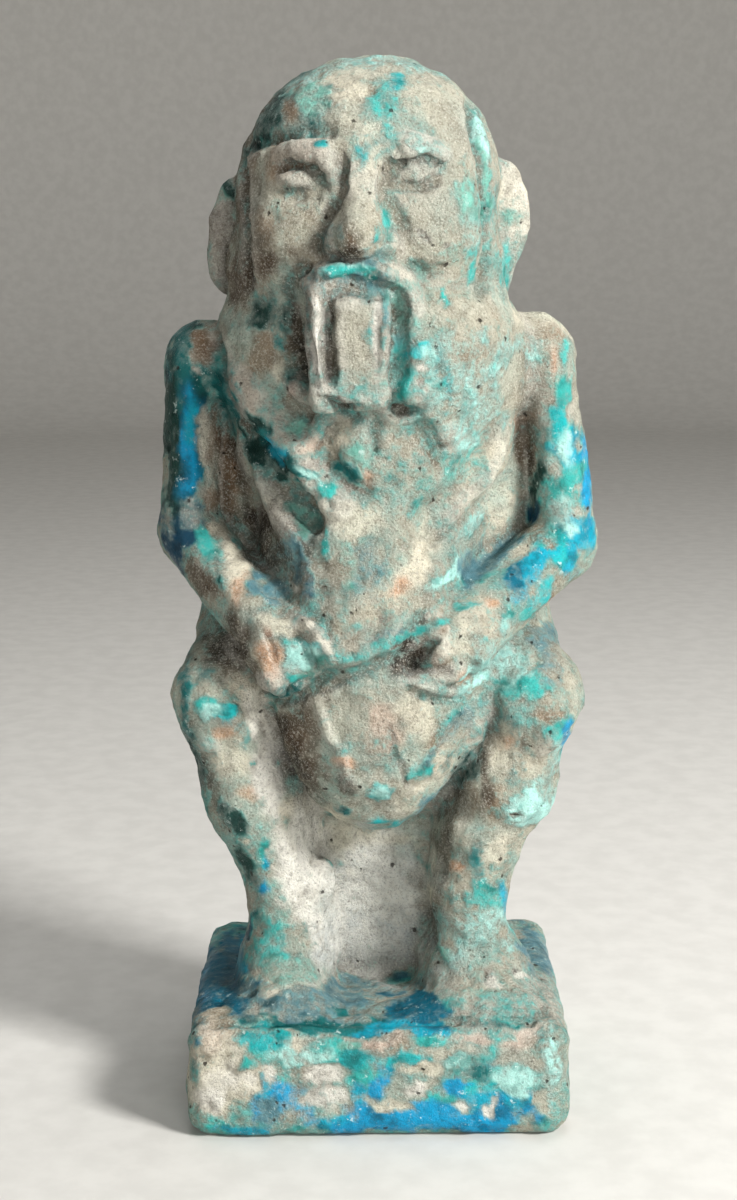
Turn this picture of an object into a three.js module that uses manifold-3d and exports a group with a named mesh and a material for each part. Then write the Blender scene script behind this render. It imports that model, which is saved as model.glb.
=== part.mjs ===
// Small standing figure of the dwarf god Bes in glazed faience, moulded in one with its plinth.
// The body is worked out as a field that tells how far any place is from the surface: rounded
// forms are run together or carved away, the skin of the field is laid with triangles, flat
// parts are given fewer of them, and the underside is cut flat.
// Lengths are millimetres, +Z is up, the front faces -Y, the origin is the middle of the underside.
// Places on the figure are hundredths of its own height above the plinth's top.
import * as THREE from "three";
import { mergeVertices } from "three/addons/utils/BufferGeometryUtils.js";
import Module from "manifold-3d";

// Driving dimensions
const FIGURE_HEIGHT = 134;
const PLINTH_WIDTH = 54;
const PLINTH_DEPTH = 47;
const PLINTH_HEIGHT = 16;
const PLINTH_EDGE_RADIUS = 3.2;
const POOL_INSET = 3.2;
const POOL_RADIUS = 1.3;
// How much of the rounded bottom edge the flat underside cuts away
const UNDERCUT = 0.3;

// How finely the skin is laid: the grid's step, the triangles kept, how much more the face counts
const SKIN_STEP = 1.2;
const SKIN_TRIANGLES = 9300;
const FACE_CARE = 4;

// How lines and small forms are laid on the front surface, in hundredths of the figure's height
const SOFT_MARGIN = 1.5;
const LINE_STEP = 1.3;
const LINE_END = 0.7;
const LOOK_FROM = -22;
const LOOK_TO = 8;
const LOOK_STEP = 0.5;

// How the skin is moved onto the surface
const SETTLINGS = 2;
const PROBE = 0.15;
const LONGEST_MOVE = 0.4;
const LEAST_SLOPE = 0.3;
const PINCH_FILL = 0.02;

// How the skin is thinned: long edges cost a little more, triangles may not turn over or grow thin
const LENGTH_CARE = 2e-4;
const LEAST_AGREEMENT = 0.5;
const LEAST_SHAPE = 0.12;
const LEAST_VOLUME = 1e-4;

const UNIT = FIGURE_HEIGHT / 100;

// Forms: each gives its distance at a place and the corners of the box it fills
function ball([cx, cy, cz], [rx, ry, rz], lean = 0) {
  const angle = THREE.MathUtils.degToRad(lean);
  const cos = Math.cos(angle);
  const sin = Math.sin(angle);
  const reachX = Math.abs(cos) * rx + Math.abs(sin) * rz;
  const reachZ = Math.abs(sin) * rx + Math.abs(cos) * rz;
  const distance = (px, py, pz) => {
    const x = cos * (px - cx) - sin * (pz - cz);
    const y = py - cy;
    const z = sin * (px - cx) + cos * (pz - cz);
    const near = Math.hypot(x / rx, y / ry, z / rz);
    const slope = Math.hypot(x / (rx * rx), y / (ry * ry), z / (rz * rz));
    return near * (near - 1) / Math.max(slope, 1e-6);
  };
  return { distance, low: [cx - reachX, cy - ry, cz - reachZ], high: [cx + reachX, cy + ry, cz + reachZ] };
}

function limb(a, b, radiusA, radiusB, squash = [1, 1, 1]) {
  const [sx, sy, sz] = squash;
  const dx = (b[0] - a[0]) / sx;
  const dy = (b[1] - a[1]) / sy;
  const dz = (b[2] - a[2]) / sz;
  const square = dx * dx + dy * dy + dz * dz;
  const least = Math.min(sx, sy, sz);
  const distance = (px, py, pz) => {
    const x = (px - a[0]) / sx;
    const y = (py - a[1]) / sy;
    const z = (pz - a[2]) / sz;
    const share = THREE.MathUtils.clamp((x * dx + y * dy + z * dz) / square, 0, 1);
    const away = Math.hypot(x - share * dx, y - share * dy, z - share * dz);
    return (away - radiusA - (radiusB - radiusA) * share) * least;
  };
  const reach = squash.map((s) => s * Math.max(radiusA, radiusB));
  const low = reach.map((r, i) => Math.min(a[i], b[i]) - r);
  const high = reach.map((r, i) => Math.max(a[i], b[i]) + r);
  return { distance, low, high };
}

function slab([cx, cy, cz], [hx, hy, hz], edge) {
  const distance = (px, py, pz) => {
    const x = Math.abs(px - cx) - hx + edge;
    const y = Math.abs(py - cy) - hy + edge;
    const z = Math.abs(pz - cz) - hz + edge;
    const outside = Math.hypot(Math.max(x, 0), Math.max(y, 0), Math.max(z, 0));
    return outside + Math.min(Math.max(x, y, z), 0) - edge;
  };
  return { distance, low: [cx - hx, cy - hy, cz - hz], high: [cx + hx, cy + hy, cz + hz] };
}

function blended(a, b, soft) {
  const overlap = Math.max(soft - Math.abs(a - b), 0) / soft;
  return Math.min(a, b) - overlap * overlap * soft / 4;
}

// Places along a chain of points, no further apart than a given step
function along(points, step) {
  const places = [points[0]];
  for (let i = 1; i < points.length; i++) {
    const [x0, z0] = points[i - 1];
    const [x1, z1] = points[i];
    const count = Math.max(1, Math.ceil(Math.hypot(x1 - x0, z1 - z0) / step));
    for (let k = 1; k <= count; k++) {
      places.push([x0 + (x1 - x0) * k / count, z0 + (z1 - z0) * k / count]);
    }
  }
  return places;
}

// The body as it grows: forms are added or carved one after the other
class Clay {
  constructor() {
    this.steps = [];
  }

  add(form, soft = 1) {
    this.steps.push({ form, soft, carves: false });
  }

  carve(form, soft = 0.6) {
    this.steps.push({ form, soft, carves: true });
  }

  at(x, y, z) {
    let depth = 1000;
    for (const { form, soft, carves } of this.steps) {
      const margin = soft + SOFT_MARGIN;
      if (x < form.low[0] - margin || x > form.high[0] + margin) continue;
      if (y < form.low[1] - margin || y > form.high[1] + margin) continue;
      if (z < form.low[2] - margin || z > form.high[2] + margin) continue;
      const d = form.distance(x, y, z);
      depth = carves ? -blended(-depth, d, soft) : blended(depth, d, soft);
    }
    return depth;
  }

  // How far back the front surface lies at x, z
  front(x, z) {
    let y = LOOK_FROM;
    let before = this.at(x, y, z);
    let here = before;
    while (here >= 0 && y < LOOK_TO) {
      before = here;
      y += LOOK_STEP;
      here = this.at(x, y, z);
    }
    y -= LOOK_STEP * here / Math.min(here - before, -1e-6);
    for (let round = 0; round < SETTLINGS; round++) {
      y += THREE.MathUtils.clamp(this.at(x, y, z), -LONGEST_MOVE, LONGEST_MOVE);
    }
    return y;
  }

  // A line drawn over the front surface, as a groove or a ridge
  line(points, radius, bite, soft, carves) {
    const offset = carves ? bite - radius : radius - bite;
    const places = along(points, LINE_STEP).map(([x, z]) => [x, this.front(x, z) + offset, z]);
    const last = places.length - 1;
    for (let i = 0; i < last; i++) {
      const start = i === 0 ? LINE_END * radius : radius;
      const end = i === last - 1 ? LINE_END * radius : radius;
      this.steps.push({ form: limb(places[i], places[i + 1], start, end), soft, carves });
    }
  }

  groove(points, radius, depth, soft = 0.5) {
    this.line(points, radius, depth, soft, true);
  }

  ridge(points, radius, height, soft = 0.8) {
    this.line(points, radius, height, soft, false);
  }

  dent(x, z, radii, depth, soft = 0.8, lean = 0) {
    this.carve(ball([x, this.front(x, z) - radii[1] + depth, z], radii, lean), soft);
  }

  lump(x, z, radii, height, soft = 0.8, lean = 0) {
    this.add(ball([x, this.front(x, z) + radii[1] - height, z], radii, lean), soft);
  }
}

function trunk(clay) {
  clay.add(slab([0, 5.2, 37], [12.0, 6.4, 38], 5.0));
  clay.add(ball([0.2, 1.8, 38.5], [19.2, 9.0, 10.5]), 4);
  clay.add(ball([0, 2.6, 58], [18.2, 8.2, 20]), 4);
  // webs that close the gaps behind the arms and the legs
  clay.add(slab([0, 3.4, 50], [17.6, 3.6, 10], 3.0), 3);
  clay.add(slab([0, 3.6, 20], [13.2, 4.2, 21], 3.0), 3);
}

function legs(clay) {
  // viewer's left
  clay.add(limb([-13, -1, 38.5], [-16.6, -5.6, 33.5], 6.0, 4.7), 3);
  clay.add(limb([-16.6, -5.6, 33.5], [-13.6, -4.6, 21.5], 4.7, 4.4), 3);
  clay.add(limb([-13.6, -4.6, 21.5], [-10.2, -4.0, 10.5], 4.4, 3.2), 3);
  clay.add(limb([-10.2, -4.0, 10.5], [-10.2, -4.4, 2], 3.2, 3.6), 3);
  clay.add(limb([-12.4, -1.6, 30], [-8.6, -2.0, 6], 3.6, 3.0), 4);
  // viewer's right
  clay.add(limb([13, -1, 38.5], [16.8, -5.6, 33.5], 6.0, 4.6), 3);
  clay.add(limb([16.6, -5.8, 33.5], [14.0, -5.8, 23.5], 4.6, 4.5), 3);
  clay.add(limb([14.0, -5.8, 23.5], [11.2, -5.6, 17], 4.5, 3.8), 3);
  clay.add(limb([11.2, -5.6, 17], [10.0, -5.4, 11.5], 3.8, 3.4), 3);
  clay.add(limb([10.0, -5.4, 11.5], [10.4, -5.0, 2], 3.4, 3.9), 3);
  clay.add(limb([11.6, -1.4, 31], [9.0, -1.8, 12], 3.8, 2.6), 3);
  // the valleys between the belly and the thighs, and the corners behind them
  clay.add(limb([-13.0, -6.8, 39], [-10.6, -6.4, 32], 2.6, 2.0), 1.5);
  clay.add(limb([-10.6, -6.4, 32], [-8.4, -4.2, 24], 2.0, 1.6), 1.5);
  clay.add(limb([12.5, -6.2, 38], [9.6, -5.6, 30], 2.4, 2.0), 1.5);
  clay.add(limb([9.6, -5.6, 30], [7.6, -3.8, 24], 2.0, 1.6), 1.5);
  clay.add(limb([-8.6, -2.4, 31], [-6.2, -1.8, 22], 2.8, 1.8), 2);
  clay.add(limb([8.6, -2.4, 31], [5.6, -1.8, 22], 2.8, 1.8), 2);
  // knees
  clay.add(ball([-17.0, -8.0, 33.0], [3.4, 2.6, 3.6]), 2);
  clay.add(ball([16.6, -8.4, 32.0], [3.4, 2.8, 3.8]), 2);
}

function feet(clay) {
  clay.add(limb([-10.4, -4, 2.4], [-9.8, -9.6, 0.6], 3.8, 3.2, [1.1, 1, 0.85]), 4);
  clay.add(limb([11.0, -4, 2.4], [11.6, -10.2, 0.4], 4.2, 3.8, [1.25, 1, 0.8]), 4);
}

function torso(clay) {
  clay.add(ball([0.4, -2.6, 49], [10.4, 8.8, 14]), 3);
  clay.add(ball([-0.5, -3.2, 61.0], [12.6, 9.6, 12.0]), 3);
}

function breasts(clay) {
  clay.add(limb([-11.6, -4.6, 59.5], [-8.0, -8.0, 53.4], 3.2, 2.6), 1.0);
  clay.add(limb([-8.0, -8.0, 53.4], [-6.4, -9.0, 51.0], 2.6, 1.3), 1.0);
  clay.add(limb([11.0, -5.0, 60], [6.4, -8.6, 55], 3.4, 2.4), 1.6);
}

function belly(clay) {
  clay.add(ball([-1.6, -4.6, 50.5], [10.6, 7.4, 9.5]), 2.0);
  clay.add(ball([-0.4, -7.8, 38.5], [11.0, 7.3, 19.4]), 1.0);
  clay.add(ball([3.6, -6.2, 36.0], [9.0, 6.6, 12.0]), 1.6);
  clay.add(ball([0, -2.4, 24.6], [7.4, 4.2, 5.4]), 2);
}

function channels(clay) {
  clay.carve(limb([-15.6, -6.2, 64.5], [-14.6, -6.8, 53], 1.5, 2.6), 1.4);
  clay.carve(limb([-14.6, -6.8, 53], [-10.2, -11.6, 47.2], 2.5, 2.0), 1.2);
  clay.carve(limb([16.0, -6.6, 61.5], [15.8, -6.8, 52.0], 1.5, 2.6), 1.4);
  clay.carve(limb([15.8, -6.8, 52.0], [8.8, -12.2, 46.0], 2.4, 1.8), 1.2);
}

function arms(clay) {
  clay.add(ball([-17.9, 0.8, 68.5], [4.2, 4.6, 4.6]), 1.5);
  clay.add(ball([17.0, 0.8, 69.1], [4.2, 4.6, 4.6]), 1.5);
  clay.add(limb([-19.2, 0.0, 68.0], [-20.0, -0.8, 51.0], 4.0, 4.0, [0.74, 1.1, 1]), 1.2);
  clay.add(limb([18.2, 0.0, 68.5], [20.4, -0.8, 50.0], 4.0, 4.2, [0.76, 1.1, 1]), 1.2);
  clay.add(limb([-17.5, 0.5, 46.5], [-10.6, -6.0, 43.8], 3.4, 3.2), 1.5);
  clay.add(limb([17.5, 0.5, 46.0], [9.8, -6.2, 43.6], 3.4, 3.2), 1.5);
  clay.add(limb([-19.6, -1.2, 50], [-12.8, -9.8, 43.0], 3.5, 3.3), 1.2);
  clay.add(limb([20.0, -1.2, 49.2], [10.6, -9.8, 42.0], 3.7, 3.4), 1.2);
}

function hands(clay) {
  // viewer's left: a fist that narrows towards the middle, with a straight lower edge
  clay.add(limb([-10.4, -11.0, 40.8], [-6.6, -12.0, 41.2], 4.0, 2.7), 0.8);
  clay.add(limb([-10.6, -12.2, 39.6], [-10.8, -12.8, 37.4], 2.6, 1.6), 0.6);
  clay.add(limb([-10.4, -13.0, 37.4], [-5.8, -13.4, 39.6], 1.4, 1.0), 0.6);
  clay.ridge([[-8.4, 43.6], [-6.4, 41.6], [-5.4, 39.4]], 0.8, 0.4, 0.6);
  // viewer's right: two fingers apart, the hollow between them open to the middle
  clay.add(limb([9.0, -10.8, 40.8], [6.2, -12.4, 40.4], 3.8, 2.8), 0.8);
  clay.add(limb([6.4, -12.6, 41.6], [3.0, -12.6, 39.6], 1.8, 1.1), 0.5);
  clay.add(limb([7.8, -12.8, 38.4], [4.4, -13.2, 36.9], 1.9, 1.1), 0.4);
  clay.dent(4.4, 38.5, [1.5, 1.4, 0.8], 0.7, 0.5, 20);
}

function belt(clay) {
  clay.ridge([[-5.6, 38.6], [-1.2, 40.4], [3.2, 42.6]], 1.8, 0.7, 1.2);
  clay.groove([[-6.4, 36.4], [-4.2, 37.3], [-1.2, 38.4], [2.2, 40.0]], 0.8, 0.45, 0.4);
}

function head(clay) {
  clay.add(ball([-0.8, -0.5, 85.7], [13.7, 13.2, 14.2]), 1.5);
  clay.add(ball([0.9, -0.8, 88.0], [11.7, 11.8, 11.5]), 2);
  clay.add(ball([-1.0, -2.0, 79], [14.4, 11.0, 9.5]), 1.5);
}

function mane(clay) {
  clay.add(ball([2.2, -4.0, 70.0], [11.6, 11.6, 11.0]), 1.5);
  clay.add(ball([6.5, -1.8, 68.5], [9.5, 9.6, 10.5]), 2.5);
  clay.add(ball([-7.0, -2.6, 69.5], [9.8, 8.8, 11.5]), 1.5);
}

function ears(clay) {
  clay.add(ball([-15.0, 0.5, 81.8], [2.5, 1.6, 6.0], 5), 0.8);
  clay.add(ball([13.4, 0.5, 84.6], [2.9, 1.7, 5.4], -6), 0.8);
  clay.add(ball([13.2, 0.5, 79.0], [1.9, 1.5, 3.4]), 1.0);
}

function face(clay) {
  clay.add(ball([-1.2, -4.2, 84.5], [12.4, 10.0, 9]), 2.0);
  clay.add(ball([-7.8, -8.4, 81.4], [5.2, 4.6, 5.0]), 2.5);
  clay.add(ball([5.0, -8.8, 81.4], [5.2, 4.6, 5.0]), 2.5);
  clay.add(ball([-1.9, -10.2, 78.0], [6.4, 5.2, 4.6]), 2.0);
  // edge of the cap and of the face on both sides
  clay.groove([[-13.0, 91.2], [-9.0, 91.8], [-6.4, 92.4], [-4.0, 92.6]], 0.8, 0.25, 0.6);
  clay.groove([[-13.6, 90.0], [-13.3, 84.0], [-13.2, 77.0]], 0.8, 0.45, 0.8);
  clay.groove([[9.9, 95.0], [11.4, 88.0], [11.6, 81.0], [11.0, 76.0]], 0.9, 0.4, 0.8);
  // fold between cheek and mouth
  clay.groove([[3.4, 79.2], [5.2, 78.4], [7.6, 78.8]], 0.7, 0.3, 0.6);
  clay.groove([[-6.6, 79.6], [-8.0, 77.6], [-9.0, 76.0]], 0.8, 0.3, 0.8);
}

function eyes(clay) {
  clay.dent(-7.0, 87.5, [3.6, 2.4, 2.0], 0.42, 1.3);
  clay.dent(4.0, 88.2, [3.6, 2.4, 2.2], 0.7, 1.4);
  // brows
  clay.ridge([[-9.6, 89.6], [-7.4, 90.3], [-5.4, 89.7], [-4.2, 88.2]], 0.8, 0.4, 1.0);
  clay.ridge([[1.8, 90.7], [3.5, 91.0], [5.1, 90.5], [7.0, 89.6]], 0.8, 0.42, 0.8);
  // eyeballs
  clay.lump(-7.0, 87.3, [2.7, 1.5, 1.3], 0.6, 0.4, 4);
  clay.lump(4.0, 88.1, [2.4, 1.5, 1.25], 0.5, 0.4, -4);
  // lids
  clay.groove([[-9.6, 88.4], [-8.2, 88.9], [-6.3, 88.7], [-5.2, 88.0], [-4.7, 86.9]], 0.5, 0.38, 0.35);
  clay.groove([[-9.8, 86.6], [-8.3, 86.1], [-6.3, 86.0]], 0.5, 0.3, 0.4);
  clay.groove([[1.6, 88.3], [3.4, 89.3], [5.1, 89.5], [6.8, 89.0]], 0.5, 0.45, 0.3);
  clay.groove([[1.6, 87.4], [2.9, 86.7], [4.8, 86.7], [6.4, 87.5]], 0.45, 0.25, 0.4);
}

function nose(clay) {
  clay.add(limb([-1.2, -11.6, 90.0], [-1.1, -13.4, 86.0], 1.6, 1.8), 1.4);
  clay.add(limb([-1.1, -13.4, 86.0], [-1.6, -15.4, 82.2], 1.8, 2.6), 1.2);
  clay.add(ball([-3.6, -13.4, 81.6], [2.1, 2.6, 2.1]), 0.8);
  clay.add(ball([0.9, -13.3, 81.7], [2.0, 2.6, 2.0]), 0.9);
  clay.groove([[-3.5, 89.0], [-3.4, 86.4], [-4.5, 84.0], [-5.8, 81.4], [-5.5, 79.8]], 0.65, 0.5, 0.45);
  clay.groove([[1.2, 88.2], [1.3, 86.0], [2.6, 83.4], [3.2, 81.6]], 0.7, 0.16, 0.8);
  clay.groove([[-4.4, 79.0], [-1.8, 79.1], [1.4, 79.1]], 0.7, 0.45, 0.6);
}

function moustache(clay) {
  clay.ridge(
    [[-7.1, 74.8], [-6.2, 76.6], [-4.6, 78.0], [-1.8, 78.9], [0.9, 78.2], [2.6, 76.8],
     [3.8, 74.8]],
    1.2, 0.9, 0.8,
  );
}

function beard(clay) {
  clay.add(slab([-2.5, -12.2, 71], [4.2, 4.2, 6.2], 1.3), 1.2);
  clay.carve(limb([-8.3, -13.2, 75.4], [-8.0, -12.4, 68.4], 1.9, 2.0), 0.8);
  clay.ridge([[-5.9, 76.2], [-5.7, 67.2]], 0.9, 0.4, 0.8);
  clay.groove([[-4.6, 76.0], [-4.7, 72.5], [-4.5, 68.2]], 0.7, 0.6, 0.5);
  clay.groove([[2.3, 76.4], [2.5, 71.9], [2.3, 66.8]], 0.9, 0.8, 0.6);
  clay.groove([[-4.6, 76.3], [-1.5, 77.1], [2.2, 76.5]], 0.6, 0.5, 0.5);
  // curled ends
  clay.lump(-7.5, 66.6, [1.7, 1.6, 1.5], 1.0, 0.5);
  clay.lump(4.0, 66.8, [1.8, 1.6, 1.7], 0.8, 0.6);
  clay.groove([[-9.6, 66.4], [-8.4, 64.6], [-6.4, 64.0]], 0.6, 0.4, 0.5);
  clay.groove([[-5.0, 66.2], [-3.6, 65.2], [-2.0, 64.2]], 0.7, 0.8, 0.4);
  clay.groove([[1.8, 66.4], [2.6, 65.0], [4.4, 64.4]], 0.7, 0.8, 0.4);
}

function locks(clay) {
  clay.lump(-1.8, 60.0, [3.0, 2.4, 4.2], 0.6, 1.8);
  clay.ridge([[-4.4, 64.4], [-6.2, 61.4], [-7.4, 58.8]], 1.2, 0.45, 1.0);
  clay.groove([[-5.0, 61.0], [-4.2, 58.8], [-2.8, 57.2], [-1.0, 56.4]], 0.7, 0.32, 0.9);
  clay.groove([[0.0, 64.2], [0.3, 60.0]], 0.5, 0.25, 0.7);
  clay.groove([[3.9, 63.8], [5.2, 61.2], [6.6, 58.4]], 0.6, 0.35, 0.6);
  clay.ridge([[6.2, 63.6], [8.0, 60.4]], 1.1, 0.25, 1.0);
}

function rim(clay) {
  clay.ridge(
    [[-13.6, 68.0], [-12.2, 64.8], [-9.8, 61.8], [-7.0, 58.8], [-4.4, 55.8], [-3.6, 54.4]],
    1.5, 1.0, 1.0,
  );
  clay.groove(
    [[-16.4, 71.0], [-15.6, 67.6], [-14.3, 64.6], [-12.7, 62.2], [-10.8, 60.2], [-8.4, 57.6],
     [-6.8, 55.4], [-6.2, 52.6]],
    1.2, 1.6, 0.6,
  );
  clay.groove([[4.6, 53.0], [7.1, 54.2], [9.8, 56.8], [12.4, 60.2]], 1.4, 0.4, 1.6);
}

// The plinth runs softly into the feet; a shallow gutter holds the glaze along its front and right edge
function plinth(clay) {
  const width = PLINTH_WIDTH / UNIT;
  const depth = PLINTH_DEPTH / UNIT;
  const height = PLINTH_HEIGHT / UNIT;
  const half = [width / 2, depth / 2, (height + UNDERCUT / UNIT) / 2];
  clay.add(slab([0, 0, -half[2]], half, PLINTH_EDGE_RADIUS / UNIT), 2.6);
  // the lower front corner on the viewer's left is a little swollen
  clay.add(ball([6.6 - width / 2, 4.6 - depth / 2, -0.6 * height], [6.6, 5.1, 5.6]), 1.5);
  const front = (POOL_INSET - PLINTH_DEPTH / 2) / UNIT;
  const side = (PLINTH_WIDTH / 2 - POOL_INSET) / UNIT;
  const radius = POOL_RADIUS / UNIT;
  const gutter = [[-side, front], [side - 2, front], [side, front + 2], [side, front / 4]];
  for (let i = 1; i < gutter.length; i++) {
    clay.carve(limb([...gutter[i - 1], 0.5], [...gutter[i], 0.5], radius, radius), 0.5);
  }
}

// Positions from one end to the other, evenly spaced
function evenly(from, to, step) {
  const count = Math.ceil((to - from) / step);
  return Array.from({ length: count + 1 }, (_, i) => from + (to - from) * i / count);
}

// Depths of the body at every crossing of the grid
function sample(clay, xs, ys, zs) {
  const depths = new Float64Array(xs.length * ys.length * zs.length).fill(1000);
  const span = (list, low, high) => {
    const start = list.filter((v) => v < low).length;
    const end = list.filter((v) => v <= high).length;
    return [start, end];
  };
  for (const { form, soft, carves } of clay.steps) {
    const margin = soft + SOFT_MARGIN;
    const [i0, i1] = span(xs, form.low[0] - margin, form.high[0] + margin);
    const [j0, j1] = span(ys, form.low[1] - margin, form.high[1] + margin);
    const [k0, k1] = span(zs, form.low[2] - margin, form.high[2] + margin);
    for (let i = i0; i < i1; i++) {
      for (let j = j0; j < j1; j++) {
        for (let k = k0; k < k1; k++) {
          const n = (i * ys.length + j) * zs.length + k;
          const d = form.distance(xs[i], ys[j], zs[k]);
          depths[n] = carves ? -blended(-depths[n], d, soft) : blended(depths[n], d, soft);
        }
      }
    }
  }
  return depths;
}

// Whether the surface would pass only once through a grid cell with these corners inside the body
function passesOnce(inside) {
  const reached = (wanted) => {
    const first = [0, 1, 2, 3, 4, 5, 6, 7].find((c) => (inside >> c & 1) === wanted);
    const found = new Set([first]);
    for (const c of found) {
      const beside = [1, 2, 4].map((bit) => c ^ bit);
      beside.filter((n) => (inside >> n & 1) === wanted).forEach((n) => found.add(n));
    }
    return found.size;
  };
  const count = [0, 1, 2, 3, 4, 5, 6, 7].filter((c) => inside >> c & 1).length;
  if (count === 0 || count === 8) return true;
  if (reached(1) !== count || reached(0) !== 8 - count) return false;
  return [[1, 2], [1, 4], [2, 4]].every(([u, v]) => [0, 7 - u - v].every((c) => {
    const [a, b, across, d] = [c, c ^ u, c ^ u ^ v, c ^ v].map((n) => inside >> n & 1);
    return !(a === across && b === d && a !== b);
  }));
}

// Fills the narrowest gaps, so that the surface never touches itself
function fillPinches(depths, xs, ys, zs) {
  const strides = [ys.length * zs.length, zs.length, 1];
  const corners = [0, 1, 2, 3, 4, 5, 6, 7].map((c) => {
    return (c & 1) * strides[0] + (c >> 1 & 1) * strides[1] + (c >> 2) * strides[2];
  });
  const simple = Array.from({ length: 256 }, (_, inside) => passesOnce(inside));
  let filled = true;
  while (filled) {
    filled = false;
    for (let i = 0; i < xs.length - 1; i++) {
      for (let j = 0; j < ys.length - 1; j++) {
        for (let k = 0; k < zs.length - 1; k++) {
          const cell = i * strides[0] + j * strides[1] + k;
          const inside = corners.reduce((bits, offset, c) => bits | (depths[cell + offset] < 0) << c, 0);
          if (simple[inside]) continue;
          const outer = corners.map((offset) => cell + offset).filter((n) => depths[n] >= 0);
          const nearest = outer.reduce((best, n) => (depths[n] < depths[best] ? n : best));
          depths[nearest] = -PINCH_FILL;
          filled = true;
        }
      }
    }
  }
  return depths;
}

// The skin: one point in each grid cell the surface passes through, joined across the grid's edges
function skin(depths, xs, ys, zs) {
  const axes = [xs, ys, zs];
  const strides = [ys.length * zs.length, zs.length, 1];
  const points = [];
  const pointOfCell = new Map();
  const corner = (cell, bits) => cell.map((v, axis) => v + (bits >> axis & 1));
  const index = (at) => at[0] * strides[0] + at[1] * strides[1] + at[2];
  for (let i = 0; i < xs.length - 1; i++) {
    for (let j = 0; j < ys.length - 1; j++) {
      for (let k = 0; k < zs.length - 1; k++) {
        const cell = [i, j, k];
        const sum = [0, 0, 0];
        let crossings = 0;
        for (let bits = 0; bits < 8; bits++) {
          const a = corner(cell, bits);
          const da = depths[index(a)];
          for (let axis = 0; axis < 3; axis++) {
            if (bits >> axis & 1) continue;
            const db = depths[index(a) + strides[axis]];
            if (da < 0 === db < 0) continue;
            const share = da / (da - db);
            const place = a.map((v, m) => axes[m][v]);
            place[axis] += share * (axes[axis][a[axis] + 1] - place[axis]);
            place.forEach((v, m) => {
              sum[m] += v;
            });
            crossings++;
          }
        }
        if (crossings === 0) continue;
        pointOfCell.set(index(cell), points.length);
        points.push(sum.map((v) => v / crossings));
      }
    }
  }
  const faces = [];
  for (let axis = 0; axis < 3; axis++) {
    const u = strides[(axis + 1) % 3];
    const v = strides[(axis + 2) % 3];
    for (const cell of pointOfCell.keys()) {
      const outward = depths[cell] < 0;
      if (outward === depths[cell + strides[axis]] < 0) continue;
      const ring = [cell, cell - u, cell - u - v, cell - v].map((c) => pointOfCell.get(c));
      if (ring.includes(undefined)) continue;
      const [a, b, c, d] = outward ? ring : ring.reverse();
      faces.push([a, b, c], [a, c, d]);
    }
  }
  return { points, faces };
}

// Moves every point of the skin onto the surface itself
function settle(clay, points) {
  for (let round = 0; round < SETTLINGS; round++) {
    for (const p of points) {
      const slope = [0, 1, 2].map((axis) => {
        const ahead = p.map((v, m) => (m === axis ? v + PROBE : v));
        const behind = p.map((v, m) => (m === axis ? v - PROBE : v));
        return (clay.at(...ahead) - clay.at(...behind)) / (2 * PROBE);
      });
      const steep = Math.max(Math.hypot(...slope), LEAST_SLOPE);
      const travel = THREE.MathUtils.clamp(clay.at(...p) / steep, -LONGEST_MOVE, LONGEST_MOVE);
      slope.forEach((v, m) => {
        p[m] -= travel * v / steep;
      });
    }
  }
}

// Sums of squared distances to the planes around a point, kept as the ten numbers of a quadric
function planeSquares(a, b, c, care) {
  const normal = cross(minus(b, a), minus(c, a));
  const area = Math.hypot(...normal) || 1e-12;
  const [x, y, z] = normal.map((v) => v / area);
  const w = -(x * a[0] + y * a[1] + z * a[2]);
  const squares = [x * x, x * y, x * z, x * w, y * y, y * z, y * w, z * z, z * w, w * w];
  return squares.map((v) => v * area * care);
}

function minus(a, b) {
  return [a[0] - b[0], a[1] - b[1], a[2] - b[2]];
}

function cross(a, b) {
  return [a[1] * b[2] - a[2] * b[1], a[2] * b[0] - a[0] * b[2], a[0] * b[1] - a[1] * b[0]];
}

function dot(a, b) {
  return a[0] * b[0] + a[1] * b[1] + a[2] * b[2];
}

function strayed(q, [x, y, z]) {
  return q[0] * x * x + q[4] * y * y + q[7] * z * z + q[9]
    + 2 * (q[1] * x * y + q[2] * x * z + q[5] * y * z + q[3] * x + q[6] * y + q[8] * z);
}

// A queue that always hands out the item of least cost
class Queue {
  constructor() {
    this.items = [];
  }

  size() {
    return this.items.length;
  }

  // Swaps two items if the second costs less; says whether it did
  settleDown(above, below) {
    if (below >= this.size() || this.items[below].cost >= this.items[above].cost) return false;
    [this.items[above], this.items[below]] = [this.items[below], this.items[above]];
    return true;
  }

  push(item) {
    this.items.push(item);
    let at = this.size() - 1;
    while (at > 0 && this.settleDown(at - 1 >> 1, at)) {
      at = at - 1 >> 1;
    }
  }

  pop() {
    const top = this.items[0];
    const last = this.items.pop();
    if (this.size() > 0) this.items[0] = last;
    let at = 0;
    let moved = true;
    while (moved) {
      const [left, right] = [2 * at + 1, 2 * at + 2];
      const rightLess = right < this.size() && this.items[right].cost < this.items[left].cost;
      const next = rightLess ? right : left;
      moved = this.settleDown(at, next);
      at = next;
    }
    return top;
  }
}

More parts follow.
